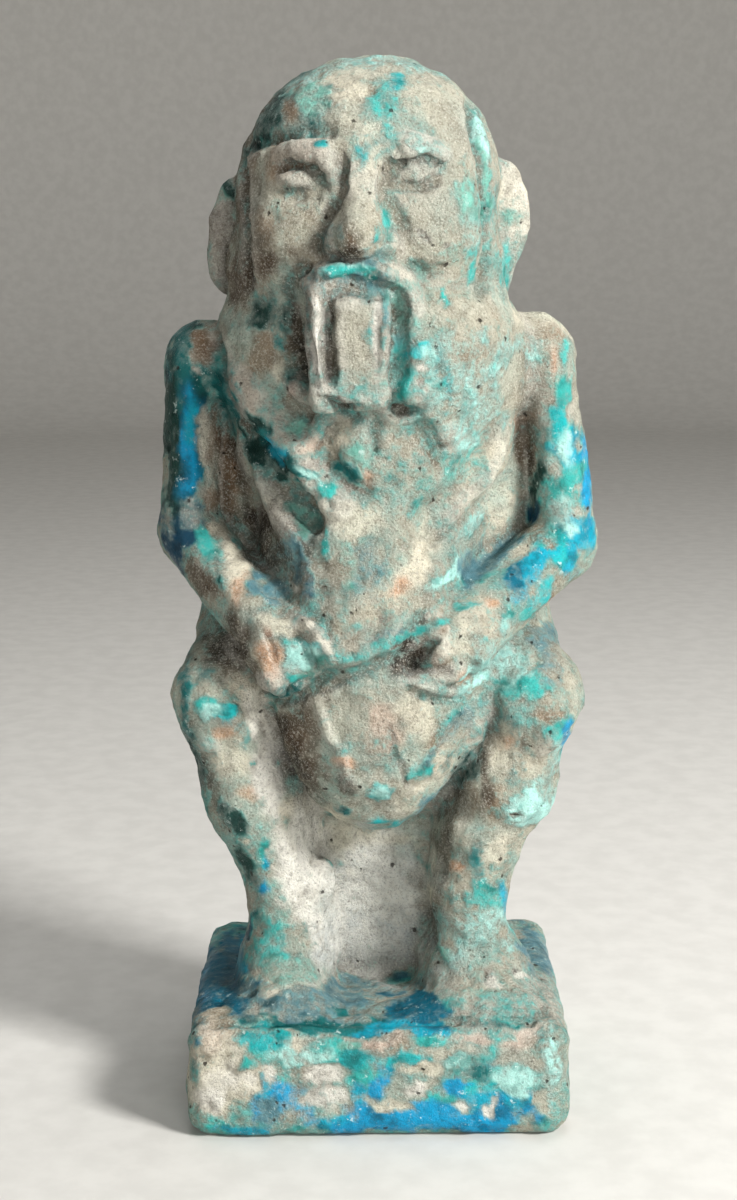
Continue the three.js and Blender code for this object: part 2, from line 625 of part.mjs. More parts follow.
// Thins the skin where it is flat: the edge whose closing moves the surface least is closed first
function thin(points, faces, target, careAt) {
  const facesOf = points.map(() => new Set());
  faces.forEach((face, f) => face.forEach((v) => facesOf[v].add(f)));
  const squares = points.map(() => new Array(10).fill(0));
  faces.forEach((face) => {
    const [a, b, c] = face.map((v) => points[v]);
    const plane = planeSquares(a, b, c, careAt(a));
    face.forEach((v) => plane.forEach((value, m) => {
      squares[v][m] += value;
    }));
  });
  const stamp = new Uint32Array(points.length);
  const queue = new Queue();
  const offer = (a, b) => {
    const both = squares[a].map((v, m) => v + squares[b][m]);
    const middle = points[a].map((v, m) => (v + points[b][m]) / 2);
    const length = Math.hypot(...minus(points[a], points[b]));
    const nearby = (p) => p !== null && Math.hypot(...minus(p, middle)) < length;
    const choices = [middle, points[a], points[b], lowest(both)].filter(nearby);
    const place = choices.reduce((best, p) => (strayed(both, p) < strayed(both, best) ? p : best));
    const cost = strayed(both, place) + LENGTH_CARE * length ** 3;
    queue.push({ cost, a, b, place, age: stamp[a] + stamp[b] });
  };
  const ringOf = (v) => new Set([...facesOf[v]].flatMap((f) => faces[f]).filter((w) => w !== v));
  points.forEach((_, a) => [...ringOf(a)].filter((b) => a < b).forEach((b) => offer(a, b)));
  const keepsShape = (moved, other, place) => [...facesOf[moved]].every((f) => {
    if (faces[f].includes(other)) return true;
    const before = faces[f].map((v) => points[v]);
    const after = faces[f].map((v) => (v === moved ? place : points[v]));
    const old = cross(minus(before[1], before[0]), minus(before[2], before[0]));
    const now = cross(minus(after[1], after[0]), minus(after[2], after[0]));
    const longest = Math.max(...after.map((p, m) => Math.hypot(...minus(p, after[(m + 1) % 3]))));
    const area = Math.hypot(...now);
    const agreement = dot(old, now) / (Math.hypot(...old) * area);
    return agreement > LEAST_AGREEMENT && area > LEAST_SHAPE * longest ** 2;
  });
  let count = faces.length;
  while (count > target && queue.size() > 0) {
    const { a, b, place, age } = queue.pop();
    if (facesOf[a].size === 0 || facesOf[b].size === 0 || age !== stamp[a] + stamp[b]) continue;
    const ringA = ringOf(a);
    const ringB = ringOf(b);
    if (!ringA.has(b) || [...ringA].filter((v) => ringB.has(v)).length !== 2) continue;
    if (!keepsShape(a, b, place) || !keepsShape(b, a, place)) continue;
    for (const f of facesOf[b]) {
      if (faces[f].includes(a)) {
        faces[f].filter((v) => v !== b).forEach((v) => facesOf[v].delete(f));
        faces[f] = null;
        count--;
      } else {
        faces[f] = faces[f].map((v) => (v === b ? a : v));
        facesOf[a].add(f);
      }
    }
    facesOf[b].clear();
    points[a] = place;
    squares[a] = squares[a].map((v, m) => v + squares[b][m]);
    stamp[a] += 1000;
    ringOf(a).forEach((v) => offer(a, v));
  }
  return faces.filter((face) => face !== null);
}

// The place where a quadric is least, or null where it has no single one
function lowest(q) {
  const rows = [[q[0], q[1], q[2]], [q[1], q[4], q[5]], [q[2], q[5], q[7]]];
  const volume = dot(rows[0], cross(rows[1], rows[2]));
  const size = q[0] + q[4] + q[7];
  if (Math.abs(volume) < LEAST_VOLUME * size ** 3) return null;
  const right = [-q[3], -q[6], -q[8]];
  const columns = [0, 1, 2].map((m) => rows.map((row) => row[m]));
  return [0, 1, 2].map((m) => {
    const swapped = columns.map((column, n) => (n === m ? right : column));
    return dot(swapped[0], cross(swapped[1], swapped[2])) / volume;
  });
}

const clay = new Clay();
for (const shape of [
  trunk, plinth, legs, feet, torso, breasts, belly, channels, arms, hands, belt,
  head, mane, ears, face, eyes, nose, moustache, beard, locks, rim,
]) {
  shape(clay);
}

// The grid reaches a little past the body on every side
const step = SKIN_STEP / UNIT;
const added = clay.steps.filter(({ carves }) => !carves).map(({ form }) => form);
const [xs, ys, zs] = [0, 1, 2].map((axis) => {
  const low = Math.min(...added.map((form) => form.low[axis]));
  const high = Math.max(...added.map((form) => form.high[axis]));
  return evenly(low - 2 * step, high + 2 * step, step);
});
const depths = fillPinches(sample(clay, xs, ys, zs), xs, ys, zs);
const { points, faces } = skin(depths, xs, ys, zs);
settle(clay, points);
const onFace = ([, y, z]) => y < -3 && z > 54 && z < 96;
const kept = thin(points, faces, SKIN_TRIANGLES, (p) => (onFace(p) ? FACE_CARE : 1));

// Millimetres, with the underside of the plinth cut flat at zero
const used = [...new Set(kept.flat())];
const order = new Map(used.map((v, n) => [v, n]));
const wasm = await Module();
wasm.setup();
const asSolid = (places, triangles) => new wasm.Manifold(new wasm.Mesh({
  numProp: 3,
  vertProperties: new Float32Array(places.flat()),
  triVerts: new Uint32Array(triangles.flat()),
}));
const body = asSolid(
  used.map((v) => [points[v][0] * UNIT, points[v][1] * UNIT, points[v][2] * UNIT + PLINTH_HEIGHT]),
  kept.map((face) => face.map((v) => order.get(v))),
);
const reach = 4 * Math.max(FIGURE_HEIGHT, PLINTH_WIDTH, PLINTH_DEPTH, PLINTH_HEIGHT);
const room = new THREE.BoxGeometry(reach, reach, reach);
room.translate(0, 0, reach / 2);
room.deleteAttribute("normal");
room.deleteAttribute("uv");
const walls = mergeVertices(room);
const cutter = new wasm.Manifold(new wasm.Mesh({
  numProp: 3,
  vertProperties: new Float32Array(walls.attributes.position.array),
  triVerts: new Uint32Array(walls.index.array),
}));
const result = body.intersect(cutter).getMesh();

const geometry = new THREE.BufferGeometry();
geometry.setAttribute("position", new THREE.BufferAttribute(result.vertProperties, 3));
geometry.setIndex(new THREE.BufferAttribute(result.triVerts, 1));
const glaze = new THREE.MeshStandardMaterial({ color: 0x5fa9a6, roughness: 0.45 });
const figure = new THREE.Mesh(geometry, glaze);
figure.name = "bes_figure";

const group = new THREE.Group();
group.add(figure);
export default group;
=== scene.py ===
"""A small figure of the dwarf god Bes in worn glazed faience, moulded in one with its plinth.

The body is the same field of rounded forms as the solid, laid on a finer grid, with finer
relief and wear. Places and sizes are hundredths of the figure's height above the plinth's top:
x to the viewer's right, y to the back, z up from the plinth's top.
"""
import math

import bpy
import numpy as np
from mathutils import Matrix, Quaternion, Vector


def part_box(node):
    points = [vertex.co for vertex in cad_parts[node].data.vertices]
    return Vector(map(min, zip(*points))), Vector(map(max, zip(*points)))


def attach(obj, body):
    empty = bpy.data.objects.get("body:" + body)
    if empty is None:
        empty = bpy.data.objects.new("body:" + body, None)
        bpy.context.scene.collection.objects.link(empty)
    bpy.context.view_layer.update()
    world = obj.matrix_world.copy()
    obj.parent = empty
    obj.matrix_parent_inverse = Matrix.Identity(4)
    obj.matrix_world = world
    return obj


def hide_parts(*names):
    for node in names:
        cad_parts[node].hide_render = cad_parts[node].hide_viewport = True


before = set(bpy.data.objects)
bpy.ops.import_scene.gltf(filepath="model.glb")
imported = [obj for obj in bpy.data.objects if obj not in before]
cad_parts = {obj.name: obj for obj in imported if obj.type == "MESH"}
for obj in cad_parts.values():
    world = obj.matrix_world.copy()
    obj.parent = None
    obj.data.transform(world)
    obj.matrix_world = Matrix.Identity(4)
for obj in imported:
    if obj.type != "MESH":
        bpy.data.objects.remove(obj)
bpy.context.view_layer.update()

node_low, node_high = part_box("bes_figure")

# Sizes of the solid, in hundredths of the figure's height
CROWN = 100.17
PLINTH_WIDTH = 40.3
PLINTH_DEPTH = 35.07
PLINTH_HEIGHT = 11.94
PLINTH_EDGE_RADIUS = 2.39
POOL_INSET = 2.39
POOL_RADIUS = 0.97
UNDERCUT = 0.22

# In metres: one hundredth of the figure's height, from the solid's own box, and a millimetre
UNIT = (node_high.z - node_low.z) / (CROWN + PLINTH_HEIGHT)
MILLIMETRE = 0.001

# The grid opens out towards the back, so that the front is the finest; its upright layers
# lie a little further apart than its other steps
GRID_STEP = 0.56
GRID_MIDDLE = 45.0
GRID_LOW = (-26.0, -20.0, -15.0)
GRID_HIGH = (26.0, 20.0, 103.0)
GRID_OPENING = 0.024
LAYER_STEP = 1.1 * GRID_STEP

# How forms blend and lines are drawn over them, and how the skin settles on them
SOFT_MARGIN = 1.5
LINE_STEP = 1.3
LINE_END = 0.7
LOOK_FROM = -22.0
LOOK_TO = 8.0
LOOK_STEP = 0.5
PROBE = 0.15
LEAST_SQUARE = 0.05
LONGEST_MOVE = 0.5
PINCH_FILL = 0.02
OUTSIDE = 1000.0

# Patches of glaze, stains and painted shade: how far their edges wander, fray and fade
CLOUD_CELLS = 48
WANDER = 1.8
FRAY = 0.30
PATCH_EDGE = 0.50
CAMERA_SLOPE = 0.194
BARE_COVER = 0.34

# Glaze and stains all round the figure: colour, size of the lumps, seed, where they begin
GLAZE_CLOUDS = (("mint", 11, 61, 0.0), ("teal", 9, 71, 0.4), ("slate", 8, 81, 0.4))
BODY_CLOUDS = (("cream", 9, 91, 0.1), ("tan", 6, 101, 0.5), ("grey", 7, 111, 0.2))
CLOUD_EDGE = 0.5

# How far hollows and edges are felt, and how much they change the look: hollows get painted shade, edges
# get wear and painted highlight
HOLLOW_REACH = 1.6
HOLLOW_SHADE = 0.5
HOLLOW_GLAZE = 0.12
EDGE_REACH = 2.2
EDGE_WEAR_AND_HIGHLIGHT = 0.4

# Pits and the lumpy skin; each roughness has its size, height and seed
PIT_SEED = 5
PIT_COUNT = 380
PIT_SIZES = (0.35, 0.8)
PIT_DEPTH = 0.55
NAMED_PITS = [
    (-4.9, 94.9), (5.8, 94.2), (2.4, 94.8), (0.8, 88.1), (14.6, 80.6), (4.5, 67.3), (-8.1, 49.1),
    (-4.7, 55.1), (14.8, 21.5), (11.7, 3.6), (15.1, 3.5), (3.9, 2.2), (-3.9, 28.2), (-2.9, 25.0),
    (6.1, 49.2), (-13.3, 56.5), (-15.8, 57.3), (-14.5, 54.1), (8.6, 34.4), (-2.5, 40.2),
]
NAMED_PIT_SIZE = 0.5
GLAZE_THICKNESS = 0.10
UNDERSIDE_BAND = 0.4
ROUGHNESS = ((4.0, 0.20, 11), (1.9, 0.20, 12), (0.9, 0.14, 13))
BUMP_STRENGTH = 1.0
BUMP_UNDER_GLAZE = 0.6
BUMP_HEIGHT = 0.8

# The room, the lamps and the camera, in metres, watts and degrees; the camera stands where the
# photograph's did
FLOOR_RADIUS = 0.9
CURVE_RADIUS = 0.25
CURVE_STEPS = 16
WALL_TOP = 1.4
ROOM_SIDES = 64
PAPER = "d3d1cc"
PAPER_SHADE = "cbc9c4"
PAPER_ROUGHNESS = 0.8
FIBRE = (6.0, 4.0)
LAMPS = {
    "key": {"place": (0.42, -0.32, 0.40), "size": 0.14, "power": 6.0, "tint": (1.0, 0.99, 0.97)},
    "fill": {"place": (0.16, -0.72, 0.10), "size": 0.40, "power": 2.8, "tint": (1.0, 1.0, 1.0)},
    "top": {"place": (0.02, 0.05, 0.60), "size": 0.30, "power": 1.4, "tint": (1.0, 1.0, 1.0)},
}
SKY_TINT = (0.97, 0.98, 1.0, 1.0)
SKY_STRENGTH = 0.08
CAMERA_PLACE = (-0.0011, -0.287, 0.129)
CAMERA_PITCH = 11.0
CAMERA_ROLL = 0.31
SENSOR = 36.0
LENS = 60.0


class Form:
    """A shape: its distance at any place, and the corners of the box it fills."""

    def __init__(self, distance, low, high):
        self.distance = distance
        self.low = np.array(low, float)
        self.high = np.array(high, float)


def ball(centre, radii, lean=0.0):
    rx, ry, rz = radii
    cos = math.cos(math.radians(lean))
    sin = math.sin(math.radians(lean))

    def distance(px, py, pz):
        x = cos * (px - centre[0]) - sin * (pz - centre[2])
        y = py - centre[1]
        z = sin * (px - centre[0]) + cos * (pz - centre[2])
        near = np.sqrt((x / rx) ** 2 + (y / ry) ** 2 + (z / rz) ** 2)
        slope = np.sqrt((x / rx ** 2) ** 2 + (y / ry ** 2) ** 2 + (z / rz ** 2) ** 2)
        return near * (near - 1) / np.maximum(slope, 1e-6)

    reach = np.array([abs(cos) * rx + abs(sin) * rz, ry, abs(sin) * rx + abs(cos) * rz])
    return Form(distance, centre - reach, centre + reach)


def limb(a, b, radius_a, radius_b, squash=(1, 1, 1)):
    a, b, squash = np.array(a, float), np.array(b, float), np.array(squash, float)
    axis = (b - a) / squash
    square = axis @ axis

    def distance(px, py, pz):
        x = (px - a[0]) / squash[0]
        y = (py - a[1]) / squash[1]
        z = (pz - a[2]) / squash[2]
        share = np.clip((x * axis[0] + y * axis[1] + z * axis[2]) / square, 0, 1)
        away = (x - share * axis[0]) ** 2 + (y - share * axis[1]) ** 2 + (z - share * axis[2]) ** 2
        return (np.sqrt(away) - radius_a - (radius_b - radius_a) * share) * squash.min()

    reach = squash * max(radius_a, radius_b)
    return Form(distance, np.minimum(a, b) - reach, np.maximum(a, b) + reach)


def slab(centre, half, edge):
    def distance(px, py, pz):
        x = np.abs(px - centre[0]) - half[0] + edge
        y = np.abs(py - centre[1]) - half[1] + edge
        z = np.abs(pz - centre[2]) - half[2] + edge
        outside = np.sqrt(np.maximum(x, 0) ** 2 + np.maximum(y, 0) ** 2 + np.maximum(z, 0) ** 2)
        return outside + np.minimum(np.maximum(np.maximum(x, y), z), 0) - edge

    return Form(distance, np.subtract(centre, half), np.add(centre, half))


def blended(a, b, soft):
    overlap = np.maximum(soft - np.abs(a - b), 0) / soft
    return np.minimum(a, b) - overlap * overlap * soft / 4


def along(points, step):
    """Places along a chain of points, no further apart than a given step."""
    places = [points[0]]
    for (x0, z0), (x1, z1) in zip(points, points[1:]):
        count = max(1, math.ceil(math.hypot(x1 - x0, z1 - z0) / step))
        for k in range(1, count + 1):
            places.append((x0 + (x1 - x0) * k / count, z0 + (z1 - z0) * k / count))
    return places


class Clay:
    """The body as it grows: forms are added or carved one after the other."""

    def __init__(self):
        self.steps = []

    def add(self, form, soft=1.0):
        self.steps.append((form, soft, False))

    def carve(self, form, soft=0.6):
        self.steps.append((form, soft, True))

    def at(self, places):
        """Depths at a list of places."""
        depth = np.full(len(places), OUTSIDE, np.float32)
        for form, soft, carves in self.steps:
            margin = soft + SOFT_MARGIN
            inside = (places > form.low - margin) & (places < form.high + margin)
            near = np.nonzero(inside.all(axis=1))[0]
            if len(near) == 0:
                continue
            d = form.distance(*places[near].T).astype(np.float32)
            depth[near] = -blended(-depth[near], d, soft) if carves else blended(depth[near], d, soft)
        return depth

    def layer(self, xs, y, zs):
        """Depths over one upright layer of the grid."""
        depth = np.full((len(xs), len(zs)), OUTSIDE, np.float32)
        for form, soft, carves in self.steps:
            margin = soft + SOFT_MARGIN
            low, high = form.low - margin, form.high + margin
            i0, i1 = np.searchsorted(xs, [low[0], high[0]])
            k0, k1 = np.searchsorted(zs, [low[2], high[2]])
            if y < low[1] or y > high[1] or i0 >= i1 or k0 >= k1:
                continue
            part = depth[i0:i1, k0:k1]
            d = form.distance(xs[i0:i1, None], y, zs[None, k0:k1]).astype(np.float32)
            part[...] = -blended(-part, d, soft) if carves else blended(part, d, soft)
        return depth

    def front(self, x, z):
        """How far back the front surface lies at x, z."""
        ys = np.arange(LOOK_FROM, LOOK_TO, LOOK_STEP)
        walk = np.stack([np.full(len(ys), x), ys, np.full(len(ys), z)], axis=1)
        depth = self.at(walk)
        k = max(1, int(np.argmax(depth < 0)))
        y = ys[k - 1] + LOOK_STEP * depth[k - 1] / max(depth[k - 1] - depth[k], 1e-6)
        for _ in range(2):
            y += float(np.clip(self.at(np.array([[x, y, z]]))[0], -LONGEST_MOVE, LONGEST_MOVE))
        return y

    def chain(self, joints, soft):
        """Limbs through a row of joints, each given as its place and its radius."""
        for (a, radius_a), (b, radius_b) in zip(joints, joints[1:]):
            self.add(limb(a, b, radius_a, radius_b), soft)

    def line(self, points, radius, bite, soft, carves):
        """A line drawn over the front surface, as a groove or a ridge."""
        offset = bite - radius if carves else radius - bite
        places = [(x, self.front(x, z) + offset, z) for x, z in along(points, LINE_STEP)]
        last = len(places) - 2
        for i, (a, b) in enumerate(zip(places, places[1:])):
            start = LINE_END * radius if i == 0 else radius
            end = LINE_END * radius if i == last else radius
            self.steps.append((limb(a, b, start, end), soft, carves))

    def groove(self, points, radius, depth, soft=0.5):
        self.line(points, radius, depth, soft, True)

    def ridge(self, points, radius, height, soft=0.8):
        self.line(points, radius, height, soft, False)

    def dent(self, x, z, radii, depth, soft=0.8, lean=0.0):
        self.carve(ball((x, self.front(x, z) - radii[1] + depth, z), radii, lean), soft)

    def lump(self, x, z, radii, height, soft=0.8, lean=0.0):
        self.add(ball((x, self.front(x, z) + radii[1] - height, z), radii, lean), soft)


def trunk(clay):
    clay.add(slab((0, 5.2, 37), (12.0, 6.4, 38), 5.0))
    clay.add(ball((0.2, 1.8, 38.5), (19.2, 9.0, 10.5)), 4)
    clay.add(ball((0, 2.6, 58), (18.2, 8.2, 20)), 4)
    # webs that close the gaps behind the arms and the legs
    clay.add(slab((0, 3.4, 50), (17.6, 3.6, 10), 3.0), 3)
    clay.add(slab((0, 3.6, 20), (13.2, 4.2, 21), 3.0), 3)


def legs(clay):
    # viewer's left: hip, knee, calf, ankle and heel, and the web behind them
    clay.chain([((-13, -1, 38.5), 6.0), ((-16.6, -5.6, 33.5), 4.7), ((-13.6, -4.6, 21.5), 4.4),
                ((-10.2, -4.0, 10.5), 3.2), ((-10.2, -4.4, 2), 3.6)], 3)
    clay.add(limb((-12.4, -1.6, 30), (-8.6, -2.0, 6), 3.6, 3.0), 4)
    # viewer's right: the thigh, then knee, calf, shin, ankle and heel, and the web
    clay.add(limb((13, -1, 38.5), (16.8, -5.6, 33.5), 6.0, 4.6), 3)
    clay.chain([((16.6, -5.8, 33.5), 4.6), ((14.0, -5.8, 23.5), 4.5), ((11.2, -5.6, 17), 3.8),
                ((10.0, -5.4, 11.5), 3.4), ((10.4, -5.0, 2), 3.9)], 3)
    clay.add(limb((11.6, -1.4, 31), (9.0, -1.8, 12), 3.8, 2.6), 3)
    # the valleys between the belly and the thighs, and the corners behind them
    clay.chain([((-13.0, -6.8, 39), 2.6), ((-10.6, -6.4, 32), 2.0), ((-8.4, -4.2, 24), 1.6)], 1.5)
    clay.chain([((12.5, -6.2, 38), 2.4), ((9.6, -5.6, 30), 2.0), ((7.6, -3.8, 24), 1.6)], 1.5)
    clay.add(limb((-8.6, -2.4, 31), (-6.2, -1.8, 22), 2.8, 1.8), 2)
    clay.add(limb((8.6, -2.4, 31), (5.6, -1.8, 22), 2.8, 1.8), 2)
    # knees
    clay.add(ball((-17.0, -8.0, 33.0), (3.4, 2.6, 3.6)), 2)
    clay.add(ball((16.6, -8.4, 32.0), (3.4, 2.8, 3.8)), 2)


def feet(clay):
    clay.add(limb((-10.4, -4, 2.4), (-9.8, -9.6, 0.6), 3.8, 3.2, (1.1, 1, 0.85)), 4)
    clay.add(limb((11.0, -4, 2.4), (11.6, -10.2, 0.4), 4.2, 3.8, (1.25, 1, 0.8)), 4)


def torso(clay):
    clay.add(ball((0.4, -2.6, 49), (10.4, 8.8, 14)), 3)
    clay.add(ball((-0.5, -3.2, 61.0), (12.6, 9.6, 12.0)), 3)


def breasts(clay):
    clay.chain([((-11.6, -4.6, 59.5), 3.2), ((-8.0, -8.0, 53.4), 2.6), ((-6.4, -9.0, 51.0), 1.3)], 1.0)
    clay.add(limb((11.0, -5.0, 60), (6.4, -8.6, 55), 3.4, 2.4), 1.6)


def belly(clay):
    clay.add(ball((-1.6, -4.6, 50.5), (10.6, 7.4, 9.5)), 2.0)
    clay.add(ball((-0.4, -7.8, 38.5), (11.0, 7.3, 19.4)), 1.0)
    clay.add(ball((3.6, -6.2, 36.0), (9.0, 6.6, 12.0)), 1.6)
    clay.add(ball((0, -2.4, 24.6), (7.4, 4.2, 5.4)), 2)


def channels(clay):
    clay.carve(limb((-15.6, -6.2, 64.5), (-14.6, -6.8, 53), 1.5, 2.6), 1.4)
    clay.carve(limb((-14.6, -6.8, 53), (-10.2, -11.6, 47.2), 2.5, 2.0), 1.2)
    clay.carve(limb((16.0, -6.6, 61.5), (15.8, -6.8, 52.0), 1.5, 2.6), 1.4)
    clay.carve(limb((15.8, -6.8, 52.0), (8.8, -12.2, 46.0), 2.4, 1.8), 1.2)


def arms(clay):
    clay.add(ball((-17.9, 0.8, 68.5), (4.2, 4.6, 4.6)), 1.5)
    clay.add(ball((17.0, 0.8, 69.1), (4.2, 4.6, 4.6)), 1.5)
    clay.add(limb((-19.2, 0.0, 68.0), (-20.0, -0.8, 51.0), 4.0, 4.0, (0.74, 1.1, 1)), 1.2)
    clay.add(limb((18.2, 0.0, 68.5), (20.4, -0.8, 50.0), 4.0, 4.2, (0.76, 1.1, 1)), 1.2)
    clay.add(limb((-17.5, 0.5, 46.5), (-10.6, -6.0, 43.8), 3.4, 3.2), 1.5)
    clay.add(limb((17.5, 0.5, 46.0), (9.8, -6.2, 43.6), 3.4, 3.2), 1.5)
    clay.add(limb((-19.6, -1.2, 50), (-12.8, -9.8, 43.0), 3.5, 3.3), 1.2)
    clay.add(limb((20.0, -1.2, 49.2), (10.6, -9.8, 42.0), 3.7, 3.4), 1.2)


def hands(clay):
    # viewer's left: a fist that narrows towards the middle, with a straight lower edge
    clay.add(limb((-10.4, -11.0, 40.8), (-6.6, -12.0, 41.2), 4.0, 2.7), 0.8)
    clay.add(limb((-10.6, -12.2, 39.6), (-10.8, -12.8, 37.4), 2.6, 1.6), 0.6)
    clay.add(limb((-10.4, -13.0, 37.4), (-5.8, -13.4, 39.6), 1.4, 1.0), 0.6)
    clay.ridge([(-8.4, 43.6), (-6.4, 41.6), (-5.4, 39.4)], 0.8, 0.4, 0.6)
    # viewer's right: two fingers apart, the hollow between them open to the middle
    clay.add(limb((9.0, -10.8, 40.8), (6.2, -12.4, 40.4), 3.8, 2.8), 0.8)
    clay.add(limb((6.4, -12.6, 41.6), (3.0, -12.6, 39.6), 1.8, 1.1), 0.5)
    clay.add(limb((7.8, -12.8, 38.4), (4.4, -13.2, 36.9), 1.9, 1.1), 0.4)
    clay.dent(4.4, 38.5, (1.5, 1.4, 0.8), 0.7, 0.5, 20)


def belt(clay):
    clay.ridge([(-5.6, 38.6), (-1.2, 40.4), (3.2, 42.6)], 1.8, 0.7, 1.2)
    clay.groove([(-6.4, 36.4), (-4.2, 37.3), (-1.2, 38.4), (2.2, 40.0)], 0.8, 0.45, 0.4)


def head(clay):
    clay.add(ball((-0.8, -0.5, 85.7), (13.7, 13.2, 14.2)), 1.5)
    clay.add(ball((0.9, -0.8, 88.0), (11.7, 11.8, 11.5)), 2)
    clay.add(ball((-1.0, -2.0, 79), (14.4, 11.0, 9.5)), 1.5)


def mane(clay):
    clay.add(ball((2.2, -4.0, 70.0), (11.6, 11.6, 11.0)), 1.5)
    clay.add(ball((6.5, -1.8, 68.5), (9.5, 9.6, 10.5)), 2.5)
    clay.add(ball((-7.0, -2.6, 69.5), (9.8, 8.8, 11.5)), 1.5)


def ears(clay):
    clay.add(ball((-15.0, 0.5, 81.8), (2.5, 1.6, 6.0), 5), 0.8)
    clay.add(ball((13.4, 0.5, 84.6), (2.9, 1.7, 5.4), -6), 0.8)
    clay.add(ball((13.2, 0.5, 79.0), (1.9, 1.5, 3.4)), 1.0)


def face(clay):
    clay.add(ball((-1.2, -4.2, 84.5), (12.4, 10.0, 9)), 2.0)
    clay.add(ball((-7.8, -8.4, 81.4), (5.2, 4.6, 5.0)), 2.5)
    clay.add(ball((5.0, -8.8, 81.4), (5.2, 4.6, 5.0)), 2.5)
    clay.add(ball((-1.9, -10.2, 78.0), (6.4, 5.2, 4.6)), 2.0)
    # edge of the cap and of the face on both sides
    clay.groove([(-13.0, 91.2), (-9.0, 91.8), (-6.4, 92.4), (-4.0, 92.6)], 0.8, 0.25, 0.6)
    clay.groove([(-13.6, 90.0), (-13.3, 84.0), (-13.2, 77.0)], 0.8, 0.45, 0.8)
    clay.groove([(9.9, 95.0), (11.4, 88.0), (11.6, 81.0), (11.0, 76.0)], 0.9, 0.4, 0.8)
    # fold between cheek and mouth
    clay.groove([(3.4, 79.2), (5.2, 78.4), (7.6, 78.8)], 0.7, 0.3, 0.6)
    clay.groove([(-6.6, 79.6), (-8.0, 77.6), (-9.0, 76.0)], 0.8, 0.3, 0.8)


def eyes(clay):
    clay.dent(-7.0, 87.5, (3.6, 2.4, 2.0), 0.42, 1.3)
    clay.dent(4.0, 88.2, (3.6, 2.4, 2.2), 0.7, 1.4)
    # brows
    clay.ridge([(-9.6, 89.6), (-7.4, 90.3), (-5.4, 89.7), (-4.2, 88.2)], 0.8, 0.4, 1.0)
    clay.ridge([(1.8, 90.7), (3.5, 91.0), (5.1, 90.5), (7.0, 89.6)], 0.8, 0.42, 0.8)
    # eyeballs
    clay.lump(-7.0, 87.3, (2.7, 1.5, 1.3), 0.6, 0.4, 4)
    clay.lump(4.0, 88.1, (2.4, 1.5, 1.25), 0.5, 0.4, -4)
    # lids
    clay.groove([(-9.6, 88.4), (-8.2, 88.9), (-6.3, 88.7), (-5.2, 88.0), (-4.7, 86.9)], 0.5, 0.38, 0.35)
    clay.groove([(-9.8, 86.6), (-8.3, 86.1), (-6.3, 86.0)], 0.5, 0.12, 0.4)
    clay.groove([(1.6, 88.3), (3.4, 89.3), (5.1, 89.5), (6.8, 89.0)], 0.5, 0.45, 0.3)
    clay.groove([(1.6, 87.4), (2.9, 86.7), (4.8, 86.7), (6.4, 87.5)], 0.45, 0.25, 0.4)


def nose(clay):
    clay.add(limb((-1.2, -11.6, 90.0), (-1.1, -13.4, 86.0), 1.6, 1.8), 1.4)
    clay.add(limb((-1.1, -13.4, 86.0), (-1.6, -15.4, 82.2), 1.8, 2.6), 1.2)
    clay.add(ball((-3.6, -13.4, 81.6), (2.1, 2.6, 2.1)), 0.8)
    clay.add(ball((0.9, -13.3, 81.7), (2.0, 2.6, 2.0)), 0.9)
    clay.groove([(-3.5, 89.0), (-3.4, 86.4), (-4.5, 84.0), (-5.8, 81.4), (-5.5, 79.8)], 0.65, 0.38, 0.45)
    clay.groove([(1.2, 88.2), (1.3, 86.0), (2.6, 83.4), (3.2, 81.6)], 0.7, 0.16, 0.8)
    clay.groove([(-4.4, 79.0), (-1.8, 79.1), (1.4, 79.1)], 0.7, 0.45, 0.6)


def moustache(clay):
    clay.ridge(
        [(-7.1, 74.8), (-6.2, 76.6), (-4.6, 78.0), (-1.8, 78.9), (0.9, 78.2), (2.6, 76.8),
         (3.8, 74.8)],
        1.2, 0.9, 0.8,
    )


def beard(clay):
    clay.add(slab((-2.5, -12.2, 71), (4.2, 4.2, 6.2), 1.3), 1.2)
    clay.carve(limb((-8.3, -13.2, 75.4), (-8.0, -12.4, 68.4), 1.9, 2.0), 0.8)
    clay.ridge([(-5.9, 76.2), (-5.7, 67.2)], 0.9, 0.4, 0.8)
    clay.groove([(-4.6, 76.0), (-4.7, 72.5), (-4.5, 68.2)], 0.7, 0.6, 0.5)
    clay.groove([(2.3, 76.4), (2.5, 71.9), (2.3, 66.8)], 0.9, 0.8, 0.6)
    clay.groove([(-4.6, 76.3), (-1.5, 77.1), (2.2, 76.5)], 0.6, 0.5, 0.5)
    # curled ends
    clay.lump(-7.5, 66.6, (1.7, 1.6, 1.5), 1.0, 0.5)
    clay.lump(4.0, 66.8, (1.8, 1.6, 1.7), 0.8, 0.6)
    clay.groove([(-9.6, 66.4), (-8.4, 64.6), (-6.4, 64.0)], 0.6, 0.4, 0.5)
    clay.groove([(-5.0, 66.2), (-3.6, 65.2), (-2.0, 64.2)], 0.7, 0.8, 0.4)
    clay.groove([(1.8, 66.4), (2.6, 65.0), (4.4, 64.4)], 0.7, 0.8, 0.4)


def locks(clay):
    clay.lump(-1.8, 60.0, (3.0, 2.4, 4.2), 0.6, 1.8)
    clay.ridge([(-4.4, 64.4), (-6.2, 61.4), (-7.4, 58.8)], 1.2, 0.45, 1.0)
    clay.groove([(-5.0, 61.0), (-4.2, 58.8), (-2.8, 57.2), (-1.0, 56.4)], 0.7, 0.32, 0.9)
    clay.groove([(0.0, 64.2), (0.3, 60.0)], 0.5, 0.25, 0.7)
    clay.groove([(3.9, 63.8), (5.2, 61.2), (6.6, 58.4)], 0.6, 0.35, 0.6)
    clay.ridge([(6.2, 63.6), (8.0, 60.4)], 1.1, 0.25, 1.0)


